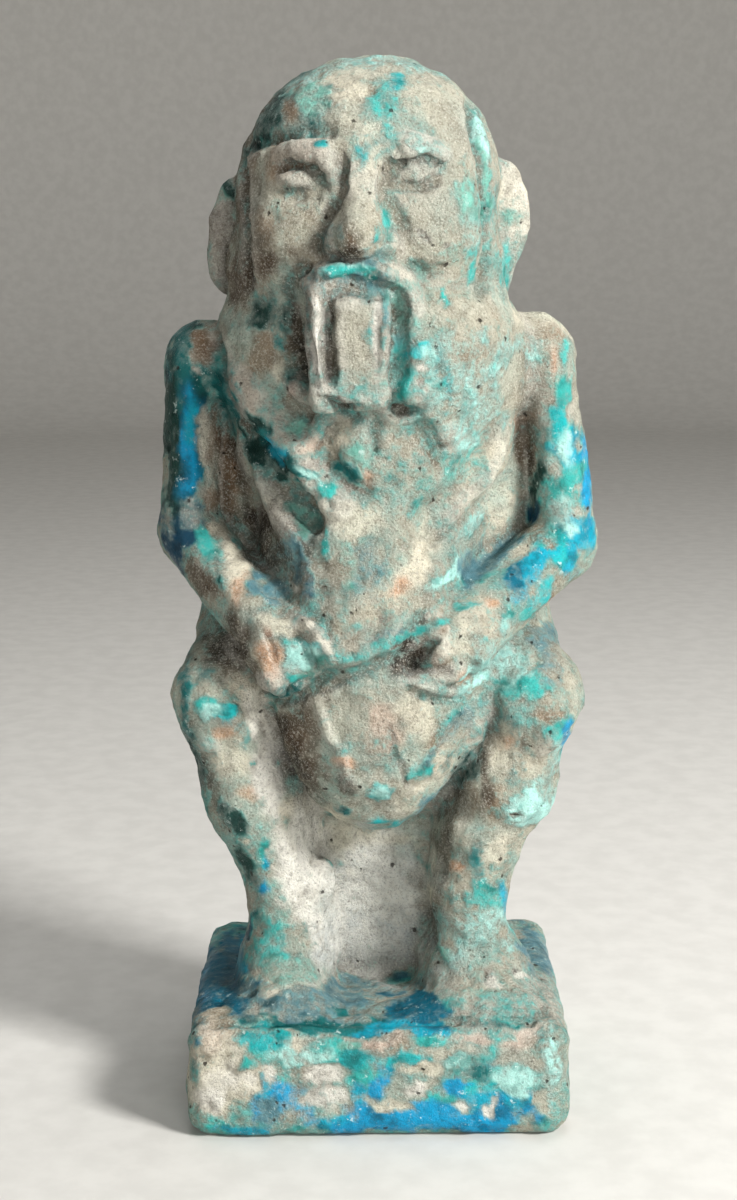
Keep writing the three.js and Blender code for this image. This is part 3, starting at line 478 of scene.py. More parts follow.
def rim(clay):
    clay.ridge(
        [(-13.6, 68.0), (-12.2, 64.8), (-9.8, 61.8), (-7.0, 58.8), (-4.4, 55.8), (-3.6, 54.4)],
        1.5, 1.0, 1.0,
    )
    clay.groove(
        [(-16.4, 71.0), (-15.6, 67.6), (-14.3, 64.6), (-12.7, 62.2), (-10.8, 60.2), (-8.4, 57.6),
         (-6.8, 55.4), (-6.2, 52.6)],
        1.2, 1.6, 0.6,
    )
    clay.groove([(4.6, 53.0), (7.1, 54.2), (9.8, 56.8), (12.4, 60.2)], 1.4, 0.4, 1.6)


def plinth(clay):
    half = np.array([PLINTH_WIDTH / 2, PLINTH_DEPTH / 2, (PLINTH_HEIGHT + UNDERCUT) / 2])
    clay.add(slab((0, 0, -half[2]), half, PLINTH_EDGE_RADIUS), 2.6)
    # the lower front corner on the viewer's left is a little swollen
    clay.add(ball((6.6 - half[0], 4.6 - half[1], -0.6 * PLINTH_HEIGHT), (6.6, 5.1, 5.6)), 1.5)
    # a shallow gutter holds the glaze along the front and right edges
    front = POOL_INSET - half[1]
    side = half[0] - POOL_INSET
    gutter = [(-side, front, 0.5), (side - 2, front, 0.5), (side, front + 2, 0.5), (side, front / 4, 0.5)]
    for a, b in zip(gutter, gutter[1:]):
        clay.carve(limb(a, b, POOL_RADIUS, POOL_RADIUS), 0.5)


def finer_face(clay):
    # the edge of the brow under the dome's glaze
    clay.groove([(-13.5, 90), (-10.7, 91), (-7.3, 91.5), (-3.4, 91.9)], 0.35, 0.22, 0.3)
    # lids of the eye on the viewer's left
    clay.groove([(-8.4, 89.1), (-6.6, 89), (-5.4, 88.3), (-4.5, 87.3)], 0.35, 0.24, 0.3)
    clay.ridge([(-7.7, 89.6), (-5.5, 89.4), (-4.2, 88.3), (-3.7, 87)], 0.45, 0.25, 0.4)
    clay.groove([(-8.8, 86.5), (-7.2, 86), (-5.6, 86.6)], 0.3, 0.1, 0.3)
    # brow and lids of the other eye
    clay.ridge([(2.1, 89.5), (3.3, 90), (4.9, 90.3), (6.9, 89.6)], 0.5, 0.3, 0.4)
    clay.ridge([(2.7, 88), (3.7, 88.7), (5.1, 88.7), (6.5, 88)], 0.35, 0.2, 0.3)
    clay.groove([(2.7, 87.1), (4.3, 86.7), (6.3, 87.1)], 0.3, 0.2, 0.3)
    # sides of the nose
    clay.groove([(-3.1, 89.7), (-2.9, 88.3), (-3.2, 87)], 0.45, 0.4, 0.4)
    clay.groove([(1.3, 89.4), (1.7, 88.1), (1.2, 86.9)], 0.4, 0.35, 0.4)
    clay.groove([(0.8, 84.8), (1.6, 83.1), (1.3, 81.2)], 0.35, 0.25, 0.4)
    # under the nose
    clay.groove([(-4.4, 79.9), (-3.6, 79.6), (-2.4, 79.2), (-1.1, 79.6)], 0.5, 0.35, 0.4)
    # upper and lower edge of the moustache
    clay.ridge([(-5.2, 78.2), (-3.4, 78.8), (-1.7, 79.2), (0.1, 79), (2, 78)], 0.5, 0.3, 0.4)
    clay.groove([(-4.9, 77.5), (-3, 77.9), (-1.5, 77.6), (0.3, 77.5), (1.9, 76.7)], 0.35, 0.2, 0.4)
    # folds and cracks of the cheeks
    clay.groove([(3.3, 79.4), (4.3, 78.5), (5.7, 78.2)], 0.35, 0.22, 0.3)
    clay.groove([(4.3, 82.4), (4.8, 82), (5.4, 81.4)], 0.28, 0.35, 0.2)
    clay.groove([(6.9, 80.4), (7.3, 80.9)], 0.28, 0.3, 0.2)
    # the rim of the face on the viewer's right
    clay.ridge([(9.8, 94.2), (10.4, 91.4), (10.7, 87.4), (11.4, 84), (10.9, 80.4)], 0.45, 0.3, 0.4)


def finer_beard(clay):
    # crisp edges of the beard's block and its strips
    clay.groove([(-6.9, 76.2), (-6.8, 72.9), (-6.3, 68.8), (-5.9, 66.4)], 0.5, 0.4, 0.4)
    clay.groove([(-4.5, 75.6), (-4.5, 71.9), (-4.2, 67.6)], 0.45, 0.45, 0.3)
    clay.ridge([(0.7, 75.4), (0.8, 71.9), (0.6, 68)], 0.4, 0.3, 0.3)
    clay.groove([(2, 74.7), (2, 71.8), (1.8, 67.6)], 0.4, 0.2, 0.4)
    clay.groove([(-3.8, 76.2), (-1.7, 76.4), (1.1, 76)], 0.35, 0.3, 0.3)
    clay.groove([(-4.5, 66), (-3.1, 64.9), (-1.8, 65.6)], 0.45, 0.45, 0.3)
    clay.groove([(1.2, 65.8), (2.6, 64.3), (3.9, 64.9)], 0.45, 0.45, 0.3)
    # folds of the locks below it
    for fold in (
        [(-3.8, 63.7), (-5, 61.6), (-6.3, 59.9)],
        [(-0.4, 63.2), (0, 60.6), (-1, 58.3)],
        [(2.9, 63.2), (3.9, 61.1), (4.5, 58.4)],
    ):
        clay.groove(fold, 0.35, 0.28, 0.3)
    clay.groove([(4.9, 63.7), (6.5, 60.8), (7.2, 58.3)], 0.3, 0.22, 0.3)
    # hatching at the end of one lock
    for notch in ([(-6.5, 59.9), (-5.9, 59.2)], [(-5.9, 59.4), (-5.2, 58.7)], [(-5.1, 59.2), (-4.3, 58.3)]):
        clay.groove(notch, 0.28, 0.22, 0.2)


def finer_mane(clay):
    # the mane's lower edge on the viewer's left
    clay.groove([(-16.7, 67.1), (-15.5, 64.1), (-12.9, 61), (-9.9, 57.6), (-7, 54.2)], 0.5, 0.4, 0.4)
    # the recess behind that edge
    clay.groove([(-14.2, 61.7), (-11.8, 58.5), (-8.6, 55.2), (-6.6, 53)], 0.9, 0.6, 0.6)
    # the lobe of the breast
    clay.groove([(-11.8, 56.8), (-9.7, 54.6), (-7.6, 52.2), (-6.4, 50.7)], 0.35, 0.3, 0.3)
    # sweeping folds on the viewer's right
    clay.groove([(8.6, 70.7), (9.5, 67.6), (8.7, 64.5)], 0.3, 0.2, 0.3)
    clay.groove([(11.5, 54.3), (8.7, 52.7), (6.6, 51.6), (4.9, 50.5)], 0.3, 0.22, 0.3)


def finer_hands(clay):
    # knuckles and lower edge of the hand on the viewer's left
    clay.ridge([(-7.6, 43.5), (-6, 42.1), (-4.6, 39.8)], 0.5, 0.35, 0.4)
    clay.groove([(-8.9, 42.6), (-7.3, 40.9), (-6.2, 38.5)], 0.35, 0.3, 0.3)
    clay.groove([(-11.5, 34.9), (-10.1, 34), (-6.9, 35.9), (-4, 38.7)], 0.55, 0.55, 0.4)
    clay.ridge([(-10.8, 37), (-9.7, 35.2), (-7.1, 37)], 0.45, 0.35, 0.4)
    clay.groove([(-11.7, 42.4), (-10.7, 40.7), (-10.3, 38.5)], 0.3, 0.2, 0.3)
    # the other hand
    clay.ridge([(2, 39.8), (3.2, 42.2), (5.7, 44)], 0.45, 0.35, 0.3)
    clay.groove([(1.5, 38.9), (2.6, 42.2), (5, 44.4)], 0.4, 0.35, 0.3)
    clay.ridge([(5.9, 43.8), (7.1, 42.1), (6.4, 40)], 0.45, 0.3, 0.4)
    clay.groove([(2.2, 38.5), (3.2, 40.6), (4.8, 42.9)], 0.9, 0.75, 0.5)
    clay.groove([(3.2, 38), (4.4, 39.7), (5.4, 41.4)], 0.8, 0.6, 0.5)
    clay.groove([(3, 38), (4.8, 40.1), (6.2, 41.4)], 0.35, 0.28, 0.3)
    clay.groove([(2.6, 36.6), (4.6, 35.6), (6.9, 34.7), (9.1, 34.3)], 0.45, 0.32, 0.4)
    clay.ridge([(3.4, 37), (5.5, 36.2), (8.6, 35.3)], 0.4, 0.3, 0.3)


def finer_body(clay):
    # the belt's lower edge
    clay.groove([(-6.7, 35.5), (-3.4, 37.2), (-0.5, 38.7), (1.5, 39.9)], 0.35, 0.2, 0.3)
    # facet and bottom of the belly
    clay.ridge([(-6.1, 34.7), (-5, 31.3), (-3.8, 29.6), (-3.4, 27.5), (-3.1, 26.2)], 0.5, 0.35, 0.5)
    clay.groove([(-11.5, 33.1), (-10.5, 29.6), (-8.7, 25), (-5.4, 22.4)], 0.4, 0.3, 0.4)
    clay.lump(-2.2, 26.0, (1.5, 1.0, 1.1), 0.4, 0.8)
    # folds on the belly's right flank
    clay.groove([(10.2, 34.5), (8.2, 31.6), (5.7, 28.3), (2.8, 26.1)], 0.3, 0.2, 0.3)
    clay.groove([(10.9, 32.5), (8.9, 29.2), (6.2, 26), (2.4, 23.4)], 0.3, 0.2, 0.3)
    # cracks
    clay.groove([(1.2, 32), (1.9, 30.3), (1.8, 28.9), (2.8, 27.4), (3, 25)], 0.26, 0.3, 0.2)
    clay.groove([(0.5, 44.5), (0.7, 43.6)], 0.3, 0.35, 0.2)
    clay.groove([(-8.6, 18), (-8.4, 16.4), (-8.8, 14.8)], 0.24, 0.22, 0.2)
    # knobs of the knees
    clay.lump(-16.2, 32.6, (1.6, 1.0, 1.6), 0.4, 0.8)
    clay.lump(-17.4, 29.5, (1.2, 0.8, 1.2), 0.35, 0.8)
    clay.lump(11.5, 32.4, (1.3, 0.9, 1.3), 0.4, 0.8)
    clay.lump(9.8, 30.9, (1.5, 0.9, 2.6), 0.4, 0.9)
    clay.lump(17.9, 30.3, (1.4, 0.9, 2.4), 0.35, 0.9)
    # knots on the wall behind the legs
    clay.lump(0.6, 13.6, (0.9, 0.7, 0.9), 0.3, 0.6)
    clay.lump(4.7, 9.8, (1.5, 0.8, 1.1), 0.4, 0.8)
    clay.lump(-6.1, 12.4, (1.6, 0.6, 2.4), 0.25, 0.8)


def grid():
    """Depths of the body over a grid that opens out towards the back, and its way to real places."""
    y = GRID_LOW[1]
    ys = [y]
    while y < GRID_HIGH[1]:
        y += LAYER_STEP * (1 + GRID_OPENING * y)
        ys.append(y)
    ys = np.array(ys)
    narrow = 1 + GRID_OPENING * GRID_LOW[1]
    us = np.arange(GRID_LOW[0] / narrow, GRID_HIGH[0] / narrow, GRID_STEP)
    below, above = GRID_LOW[2] - GRID_MIDDLE, GRID_HIGH[2] - GRID_MIDDLE
    ws = np.arange(below / narrow, above / narrow, GRID_STEP)
    layers = []
    for y in ys:
        opening = 1 + GRID_OPENING * y
        layers.append(clay.layer(us * opening, y, GRID_MIDDLE + ws * opening))

    def place(steps):
        y = np.interp(steps[:, 1], np.arange(len(ys)), ys)
        opening = 1 + GRID_OPENING * y
        u = us[0] + GRID_STEP * steps[:, 0]
        w = ws[0] + GRID_STEP * steps[:, 2]
        return np.stack([u * opening, y, GRID_MIDDLE + w * opening], axis=1)

    return np.stack(layers, axis=1), place


def part(array, axis, start):
    """The array without its last (start 0) or first (start 1) entries along one axis."""
    cut = [slice(None)] * 3
    cut[axis] = slice(start, array.shape[axis] - 1 + start)
    return array[tuple(cut)]


def fill_pinches(depths):
    """Fills the narrowest gaps, so that the surface never touches itself along an edge."""
    inside = depths < 0
    filled = True
    while filled:
        filled = False
        for u, v in ((0, 1), (0, 2), (1, 2)):
            a, b, c, d = (part(part(inside, u, i), v, j) for i, j in ((0, 0), (1, 0), (1, 1), (0, 1)))
            pinch = a & c & ~b & ~d
            other = b & d & ~a & ~c
            b |= pinch
            a |= other
            filled = filled or pinch.any() or other.any()
    depths[inside & (depths >= 0)] = -PINCH_FILL
    return depths


def quilt(depths):
    """One point in each grid cell the surface passes through, joined across the grid's edges."""
    corners = [(i, j, k) for i in (0, 1) for j in (0, 1) for k in (0, 1)]
    edges = [(a, b) for a in corners for b in corners if a < b and np.abs(np.subtract(a, b)).sum() == 1]
    inside = depths < 0
    cell = np.array(inside.shape) - 1
    count = np.zeros(cell, np.int8)
    for i, j, k in corners:
        count += inside[i:cell[0] + i, j:cell[1] + j, k:cell[2] + k]
    cells = np.argwhere((count > 0) & (count < 8))
    index = np.full(cell, -1, np.int32)
    index[tuple(cells.T)] = np.arange(len(cells))
    total = np.zeros((len(cells), 3))
    crossings = np.zeros((len(cells), 1))
    for a, b in edges:
        from_a = depths[tuple((cells + a).T)]
        to_b = depths[tuple((cells + b).T)]
        crosses = ((from_a < 0) != (to_b < 0))[:, None]
        share = (from_a / np.where(from_a == to_b, 1, from_a - to_b))[:, None]
        total += np.where(crosses, cells + a + share * np.subtract(b, a), 0)
        crossings += crosses
    quads = []
    for axis in range(3):
        u, v = (axis + 1) % 3, (axis + 2) % 3
        before, after = part(inside, axis, 0), part(inside, axis, 1)
        for leaving, flips in ((before & ~after, False), (after & ~before, True)):
            at = np.argwhere(leaving)
            ring = []
            for du, dv in ((0, 0), (-1, 0), (-1, -1), (0, -1)):
                beside = at.copy()
                beside[:, u] += du
                beside[:, v] += dv
                ring.append(index[tuple(beside.T)])
            quads.append(np.stack(ring[::-1] if flips else ring, axis=1))
    return total / crossings, np.concatenate(quads)


def slopes(places):
    """Which way the depth grows at each place, and how fast."""
    steps = np.eye(3) * PROBE
    return np.stack([clay.at(places + s) - clay.at(places - s) for s in steps], axis=1) / (2 * PROBE)


def settle(places):
    """Moves every point onto the surface itself, and gives the direction out of it there."""
    out = slopes(places)
    square = np.maximum((out ** 2).sum(axis=1, keepdims=True), LEAST_SQUARE)
    move = -out * clay.at(places)[:, None] / square
    length = np.linalg.norm(move, axis=1, keepdims=True)
    places = places + move * np.minimum(1, LONGEST_MOVE / np.maximum(length, 1e-9))
    out = slopes(places)
    return places, out / np.maximum(np.linalg.norm(out, axis=1, keepdims=True), 1e-9)


def cloud(places, size, seed):
    """Soft noise from -1 to 1 whose lumps are about the given size across."""
    table = np.random.default_rng(seed).uniform(-1, 1, (CLOUD_CELLS,) * 3)
    at = places / size
    low = np.floor(at).astype(int)
    share = at - low
    share = share * share * (3 - 2 * share)
    total = np.zeros(len(places))
    for corner in np.ndindex(2, 2, 2):
        weight = np.prod(np.where(corner, share, 1 - share), axis=1)
        i, j, k = ((low + corner) % CLOUD_CELLS).T
        total += weight * table[i, j, k]
    return total


def clouds(places, size, seed, octaves=3):
    """Soft noise with finer noise on it, each half as large and half as strong."""
    return sum(cloud(places, size / 2 ** n, seed + n) / 2 ** n for n in range(octaves))


def smooth(start, end, value):
    """From 0 at the start to 1 at the end, without a corner."""
    share = np.clip((value - start) / (end - start), 0, 1)
    return share * share * (3 - 2 * share)


def ink(code):
    """A colour written as six hexadecimal digits, as linear light."""
    share = np.array([int(code[i:i + 2], 16) / 255 for i in (0, 2, 4)])
    return np.where(share < 0.04045, share / 12.92, ((share + 0.055) / 1.055) ** 2.4)


# Colours of the worn body; the dark and brown ones are also laid as painted shade
BODY = {
    "buff": "c2bfac",
    "grey": "a8a89a",
    "cream": "ebe4cd",
    "white": "faf7ec",
    "ice": "b0bfc4",
    "peach": "d9a884",
    "pink": "d2b6a3",
    "tan": "95785c",
    "brown_stain_and_shade": "523f2e",
    "rust": "8f5638",
    "dark_shade_and_dirt": "29231c",
}

# Colours of the glaze; the dark green one is also laid as painted shade
GLAZE = {
    "pale": "aee0d7",
    "mint": "78b9a8",
    "turquoise": "38b0a8",
    "bright": "22aeb0",
    "cyan": "0b9fb8",
    "azure": "0596c4",
    "teal": "136c6b",
    "dark_green_glaze_and_shade": "153f38",
    "slate": "55808a",
    "blue": "046880",
    "deep": "033e56",
}


class Skin:
    """The points of the surface and what lies on them."""

    def __init__(self, places, outward):
        self.places = places
        self.outward = outward
        self.body = np.tile(ink(BODY["buff"]), (len(places), 1))
        self.tint = np.tile(ink(GLAZE["turquoise"]), (len(places), 1))
        self.cover = np.full(len(places), BARE_COVER)
        self.facing = smooth(0.55, 0.15, outward[:, 1])
        self.wander_x = clouds(places, 2.4, 21)
        self.wander_z = clouds(places, 2.4, 31)
        self.fray = FRAY * clouds(places, 1.2, 141)

    def patch(self, x, height, width, tall, lean=0):
        """How much each point of the front belongs to an oval patch with a frayed edge.

        Heights of patches are measured along the camera's slope, where the surface is seen.
        """
        cos = math.cos(math.radians(lean))
        sin = math.sin(math.radians(lean))
        reach = WANDER * min(1.0, 0.35 * min(width, tall) + 0.15)
        dx = self.places[:, 0] - x + self.wander_x * reach
        dz = self.places[:, 2] + CAMERA_SLOPE * self.places[:, 1] - height + self.wander_z * reach
        far = np.hypot((cos * dx - sin * dz) / width, (sin * dx + cos * dz) / tall) + self.fray
        return smooth(1 + PATCH_EDGE, 1 - PATCH_EDGE, far) * self.facing

    def stain_and_shade(self, colour, strength, *places):
        """Wears the glaze off in some places and colours the body there, as stains, and with the dark and
        brown colours as painted shade.
        """
        for place in places:
            share = self.patch(*place) * strength
            self.body += (ink(BODY[colour]) - self.body) * share[:, None]
            self.cover *= 1 - share

    def glaze(self, colour, amount, *places):
        """Lays glaze of one colour; the amount says how closely it covers the body. The dark green one is
        also laid as painted shade.
        """
        for place in places:
            share = self.patch(*place)
            self.tint += (ink(GLAZE[colour]) - self.tint) * smooth(0, 0.6, share)[:, None]
            self.cover += (amount - self.cover) * share


# Patches given one by one: how far across and up, half width and half height, and a lean in degrees;
# later ones lie over earlier ones
def colours_of_the_dome(skin):
    skin.glaze("teal", 0.5, (-7.2, 94.2, 3.5, 3.7))
    skin.glaze("mint", 0.7, (-6.2, 94.5, 1.6, 2.5))
    # painted shade over the dome's left side, laid as dark green glaze
    skin.glaze("dark_green_glaze_and_shade", 0.85, (-11.1, 94.3, 2.5, 4.2, 30), (-10.8, 93.4, 2.3, 4, 30))
    skin.stain_and_shade("tan", 0.7, (-8.8, 92.9, 1, 1.4), (-8.4, 92.5, 0.8, 1.2))
    skin.stain_and_shade("cream", 0.85, (-2.9, 94.3, 2, 1.5))
    skin.stain_and_shade("buff", 0.5, (-2.4, 91.1, 2.4, 1.6))
    skin.stain_and_shade("buff", 0.7, (6.2, 93.5, 3.1, 3.9))
    skin.stain_and_shade("cream", 0.5, (-0.4, 96.8, 1.9, 0.8))
    skin.stain_and_shade("grey", 0.5, (8.4, 90.4, 2.3, 3.1))
    skin.glaze("pale", 0.5, (1.9, 98.4, 6.3, 0.9, 8), (-5.2, 96.8, 2.9, 1, -15))
    skin.glaze("turquoise", 0.7, (0.4, 93.2, 1.2, 2), (2.2, 92.8, 1.5, 3.1), (1.7, 89.9, 1, 0.9))
    skin.glaze("bright", 0.7, (2.7, 95.3, 0.8, 0.8))
    skin.glaze("pale", 0.85, (10.7, 90.7, 0.5, 2.5, -12))
    # painted shade along the dome's left edge
    skin.stain_and_shade("dark_shade_and_dirt", 0.7, (-12.6, 93.4, 1.5, 3.8, 20))


def colours_of_the_face(skin):
    skin.stain_and_shade("tan", 0.7, (-8.1, 88.3, 3.4, 0.9, -6), (-8.4, 86.6, 2.6, 0.7))
    skin.stain_and_shade("cream", 0.5, (-4.4, 88.6, 1.8, 1), (-6.4, 84.2, 1.4, 1), (0, 86.5, 0.8, 1.4),
        (-6.8, 77.2, 2.2, 1.6), (2.4, 75.5, 1.6, 1, 30))
    # painted shade down the face's left edge, and in dark green by the left temple and beside the nose
    skin.stain_and_shade("brown_stain_and_shade", 0.7, (-12.3, 86.1, 1.4, 4.5), (-14, 83.4, 1, 4.2))
    skin.glaze("dark_green_glaze_and_shade", 0.85, (-12.3, 89.8, 0.9, 0.8), (-4.8, 78.8, 0.8, 1.4, 15))
    skin.glaze("bright", 1, (-5.6, 88.5, 0.7, 0.4))
    # painted shade beside the nose
    skin.stain_and_shade("brown_stain_and_shade", 0.5, (1.3, 85.6, 0.4, 1.2), (-3, 81.9, 0.7, 2, 8))
    skin.glaze("bright", 0.85, (-1, 87.4, 0.8, 0.9))
    skin.glaze("pale", 0.85, (4.5, 87.9, 2.4, 0.4, 14), (-3.9, 75.6, 2, 0.6, -14),
        (-2.3, 75.9, 2, 0.4))
    skin.glaze("pale", 0.5, (9.7, 80.1, 1, 1.4))
    skin.stain_and_shade("buff", 0.5, (5.2, 80.6, 3.4, 3.4), (-7.4, 81.4, 4, 4), (-2.4, 85, 3, 4))
    # painted shade beside the nose, down the face's left edge, in the fold of the left cheek and under the
    # nose
    skin.stain_and_shade("dark_shade_and_dirt", 0.5, (-3.3, 86, 0.3, 1.2), (-13.7, 77.9, 0.8, 2.7), (-8.9, 78.3, 0.6, 1.2, -20),
        (-2.8, 77.7, 1, 1.2))
    skin.stain_and_shade("tan", 0.85, (-11.2, 80.6, 1.4, 1.4))
    # painted shade on the left cheek and under the nose
    skin.stain_and_shade("brown_stain_and_shade", 0.85, (-12.7, 77.2, 2.5, 2.9), (-2.5, 78.5, 0.9, 2, 8))
    skin.glaze("mint", 0.5, (-8.4, 82.2, 2.2, 1.2))
    skin.stain_and_shade("grey", 0.5, (5, 83.9, 3.4, 5), (-11.2, 82.8, 1.8, 4.1))
    skin.glaze("turquoise", 0.85, (0.6, 81, 0.4, 1.4, -12), (9.8, 75.9, 0.5, 1.3, 5),
        (-3.4, 75.4, 1.8, 0.5, -14))
    skin.glaze("turquoise", 0.7, (0.3, 79, 0.3, 0.8), (9.8, 78.1, 0.9, 0.6, -40),
        (-0.6, 75.5, 0.8, 0.6))
    # painted shade in the folds of the right cheek and by the moustache
    skin.stain_and_shade("dark_shade_and_dirt", 0.85, (5.1, 79.3, 0.7, 0.2, 30), (7.1, 78.3, 0.4, 0.2, -40),
        (-2.6, 77, 1.1, 0.8))
    skin.glaze("mint", 0.7, (9.4, 83.5, 0.9, 2.4))
    skin.glaze("mint", 0.85, (11.1, 86.3, 0.3, 3.5, -6))
    skin.stain_and_shade("buff", 0.7, (-7.8, 83.5, 2, 0.8), (-1.4, 80.6, 1.4, 2.4))
    skin.stain_and_shade("cream", 0.7, (-7.6, 83.8, 2, 0.6))
    skin.stain_and_shade("tan", 0.3, (-7.4, 79.4, 3, 2.6))
    skin.stain_and_shade("tan", 0.5, (-8.4, 87.1, 3.4, 1.6, -6))


def colours_of_the_ears(skin):
    # painted shade on the ear on the viewer's left, in brown, dark and dark green
    skin.stain_and_shade("brown_stain_and_shade", 1, (-16.3, 81.8, 1.2, 5.1))
    skin.stain_and_shade("dark_shade_and_dirt", 0.5, (-15.8, 79, 0.6, 2.8))
    skin.glaze("dark_green_glaze_and_shade", 1, (-15.3, 86.3, 1, 1.1))
    skin.stain_and_shade("cream", 0.7, (14.4, 86, 1.9, 4.1))
    skin.glaze("mint", 0.5, (14, 83.3, 1.1, 0.9))
    skin.glaze("turquoise", 0.7, (13.5, 78.1, 0.6, 2.1))


def colours_of_the_beard(skin):
    # painted shade in the deep hollow on the beard's left, as a dark stain and dark green glaze
    skin.stain_and_shade("dark_shade_and_dirt", 0.5, (-7.7, 70, 1.2, 5.3))
    skin.glaze("dark_green_glaze_and_shade", 1, (-7.8, 69.5, 1.1, 4.9))
    skin.glaze("dark_green_glaze_and_shade", 0.7, (-11, 72.1, 1.6, 2.2, 20))
    skin.glaze("teal", 0.7, (-9.6, 68.5, 0.9, 1.8))
    skin.stain_and_shade("tan", 0.7, (-11.5, 68, 2, 1.8))
    skin.stain_and_shade("cream", 0.7, (-9.9, 66.9, 0.6, 1.4, 15))
    skin.stain_and_shade("grey", 0.85, (-2.3, 68.2, 2.2, 4.4))
    skin.stain_and_shade("white", 0.85, (-5.8, 68.7, 0.5, 3.9), (0.4, 69.2, 0.4, 3.4), (4.8, 65.9, 1, 0.3, -10))
    # painted shade in the grooves either side of the beard's panel
    skin.stain_and_shade("brown_stain_and_shade", 0.85, (-4.6, 68, 0.5, 4.4))
    skin.stain_and_shade("brown_stain_and_shade", 0.5, (1.5, 68.4, 0.3, 4.2))
    skin.stain_and_shade("rust", 0.85, (-8.5, 64.4, 0.7, 0.6))
    skin.glaze("turquoise", 0.7, (-2.3, 63.5, 1, 0.7))
    skin.glaze("mint", 0.5, (0.5, 64.8, 0.6, 1.4))
    # painted shade under the curled ends and in the grooves beside the panel
    skin.stain_and_shade("dark_shade_and_dirt", 0.85, (-3.2, 62.7, 1.4, 0.4, 25), (2.6, 62.1, 1.2, 0.5, 22),
        (4.5, 64.3, 0.3, 0.4), (-7.6, 69, 0.9, 4.9), (-4.5, 68.3, 0.3, 3.8))
    skin.glaze("bright", 1, (4.8, 67.5, 2, 0.9, -18))
    skin.glaze("turquoise", 1, (6.2, 66.1, 0.7, 1.6))
    skin.glaze("turquoise", 0.85, (3.3, 64.5, 0.6, 1.4, 15))
    # more painted shade in the hollow on the beard's left
    skin.glaze("dark_green_glaze_and_shade", 0.85, (-11.5, 71.9, 0.8, 1.2))
    skin.stain_and_shade("white", 1, (-5.7, 68.5, 0.6, 4.1))
    skin.stain_and_shade("buff", 0.7, (-2, 68.2, 1.8, 4))


def colours_of_the_mane(skin):
    skin.stain_and_shade("buff", 0.5, (9.5, 70.7, 4.6, 3.4), (-7.7, 62.9, 2.6, 1.2))
    skin.glaze("turquoise", 0.85, (7, 73.1, 0.4, 1), (12.8, 66.1, 0.8, 2.2))
    skin.glaze("mint", 0.7, (7.6, 68.5, 0.6, 1.4, 10), (-7.7, 60.4, 1, 1), (-2.1, 57.3, 1.8, 2))
    skin.glaze("pale", 0.7, (9, 59.7, 1.6, 1.8))
    skin.stain_and_shade("tan", 0.85, (-12.8, 63.9, 1, 3.1, -25))
    skin.stain_and_shade("cream", 0.7, (-12.6, 61.1, 0.6, 0.6))
    skin.stain_and_shade("cream", 0.85, (-4.6, 59.2, 1, 2.2, 25), (-9.6, 52.4, 0.9, 1.2, 35))
    skin.stain_and_shade("peach", 0.7, (-6.7, 58.4, 0.6, 1, 25))
    # painted shade at the tip of the lobe
    skin.stain_and_shade("brown_stain_and_shade", 0.85, (-5.9, 56.5, 0.8, 0.7, 30))
    skin.glaze("teal", 0.85, (-3.1, 56, 1.6, 0.5, 20), (-15.6, 64.2, 1.5, 2.7, -15),
        (-4.6, 52.2, 0.6, 0.8))
    skin.stain_and_shade("peach", 0.85, (-1, 55.5, 0.6, 0.9))
    # painted shade under a lock and along a groove
    skin.stain_and_shade("brown_stain_and_shade", 0.7, (-2.8, 54.5, 2, 0.4, 22))
    skin.stain_and_shade("brown_stain_and_shade", 0.5, (5.9, 57.6, 0.3, 1.8, -22))
    skin.stain_and_shade("grey", 0.3, (1.9, 59.2, 3, 2.6))
    # painted shade in the deep crease behind the mane's left edge
    skin.glaze("dark_green_glaze_and_shade", 1, (-11.8, 59.1, 1.9, 2.3, -30))
    skin.glaze("dark_green_glaze_and_shade", 0.85, (-9.3, 56.6, 1.4, 1.2, -40))
    skin.stain_and_shade("dark_shade_and_dirt", 0.7, (-14.1, 63.2, 0.5, 3.5, -25))
    skin.glaze("teal", 1, (-11.4, 59.8, 0.8, 0.5, 30), (-7.4, 55.9, 1.6, 0.6, 42))
    skin.glaze("cyan", 1, (-9.7, 58.3, 1.3, 0.6, 40))
    skin.glaze("turquoise", 1, (-5.3, 53.9, 1.2, 0.7, 45))
    skin.glaze("pale", 0.85, (-6.9, 55.5, 1.4, 0.3, 45))
    skin.glaze("pale", 0.5, (9.5, 64.7, 4, 4.6))
    skin.glaze("bright", 0.5, (6.8, 65.5, 0.5, 3.4, -8))
    skin.stain_and_shade("cream", 1, (-9.9, 53.3, 1.2, 1.4, 35))


def colours_of_the_shoulders(skin):
    # painted shade on the outer side of the shoulder on the viewer's left, as dark green glaze
    skin.glaze("dark_green_glaze_and_shade", 1, (-20.5, 70, 1.9, 2.7), (-20.7, 70.5, 1.7, 2.8))
    skin.glaze("teal", 1, (-19.4, 65.4, 2.1, 2.1))
    skin.stain_and_shade("tan", 1, (-17.7, 69.9, 1.1, 2.1))
    skin.stain_and_shade("tan", 0.85, (-19.4, 71, 0.6, 0.6))
    skin.stain_and_shade("white", 0.7, (-18.6, 67.1, 0.5, 0.4))
    skin.stain_and_shade("cream", 0.7, (16.6, 72.9, 3.6, 1.5, 15))
    skin.glaze("pale", 0.5, (15, 69.2, 2.1, 1.2))
    skin.stain_and_shade("buff", 0.7, (15.7, 64.5, 2.7, 3.2))
    skin.stain_and_shade("peach", 0.85, (18.9, 67.6, 0.4, 1.5))
    skin.glaze("turquoise", 0.85, (19.7, 68.6, 0.4, 1.7), (20.2, 64, 0.7, 1.9))
    skin.stain_and_shade("peach", 0.7, (15.4, 61.7, 1.7, 0.6, -20))
    skin.glaze("teal", 0.85, (-20.9, 68.4, 1.3, 3.8))
    skin.glaze("deep", 1, (-21.4, 65.5, 0.8, 3.2))


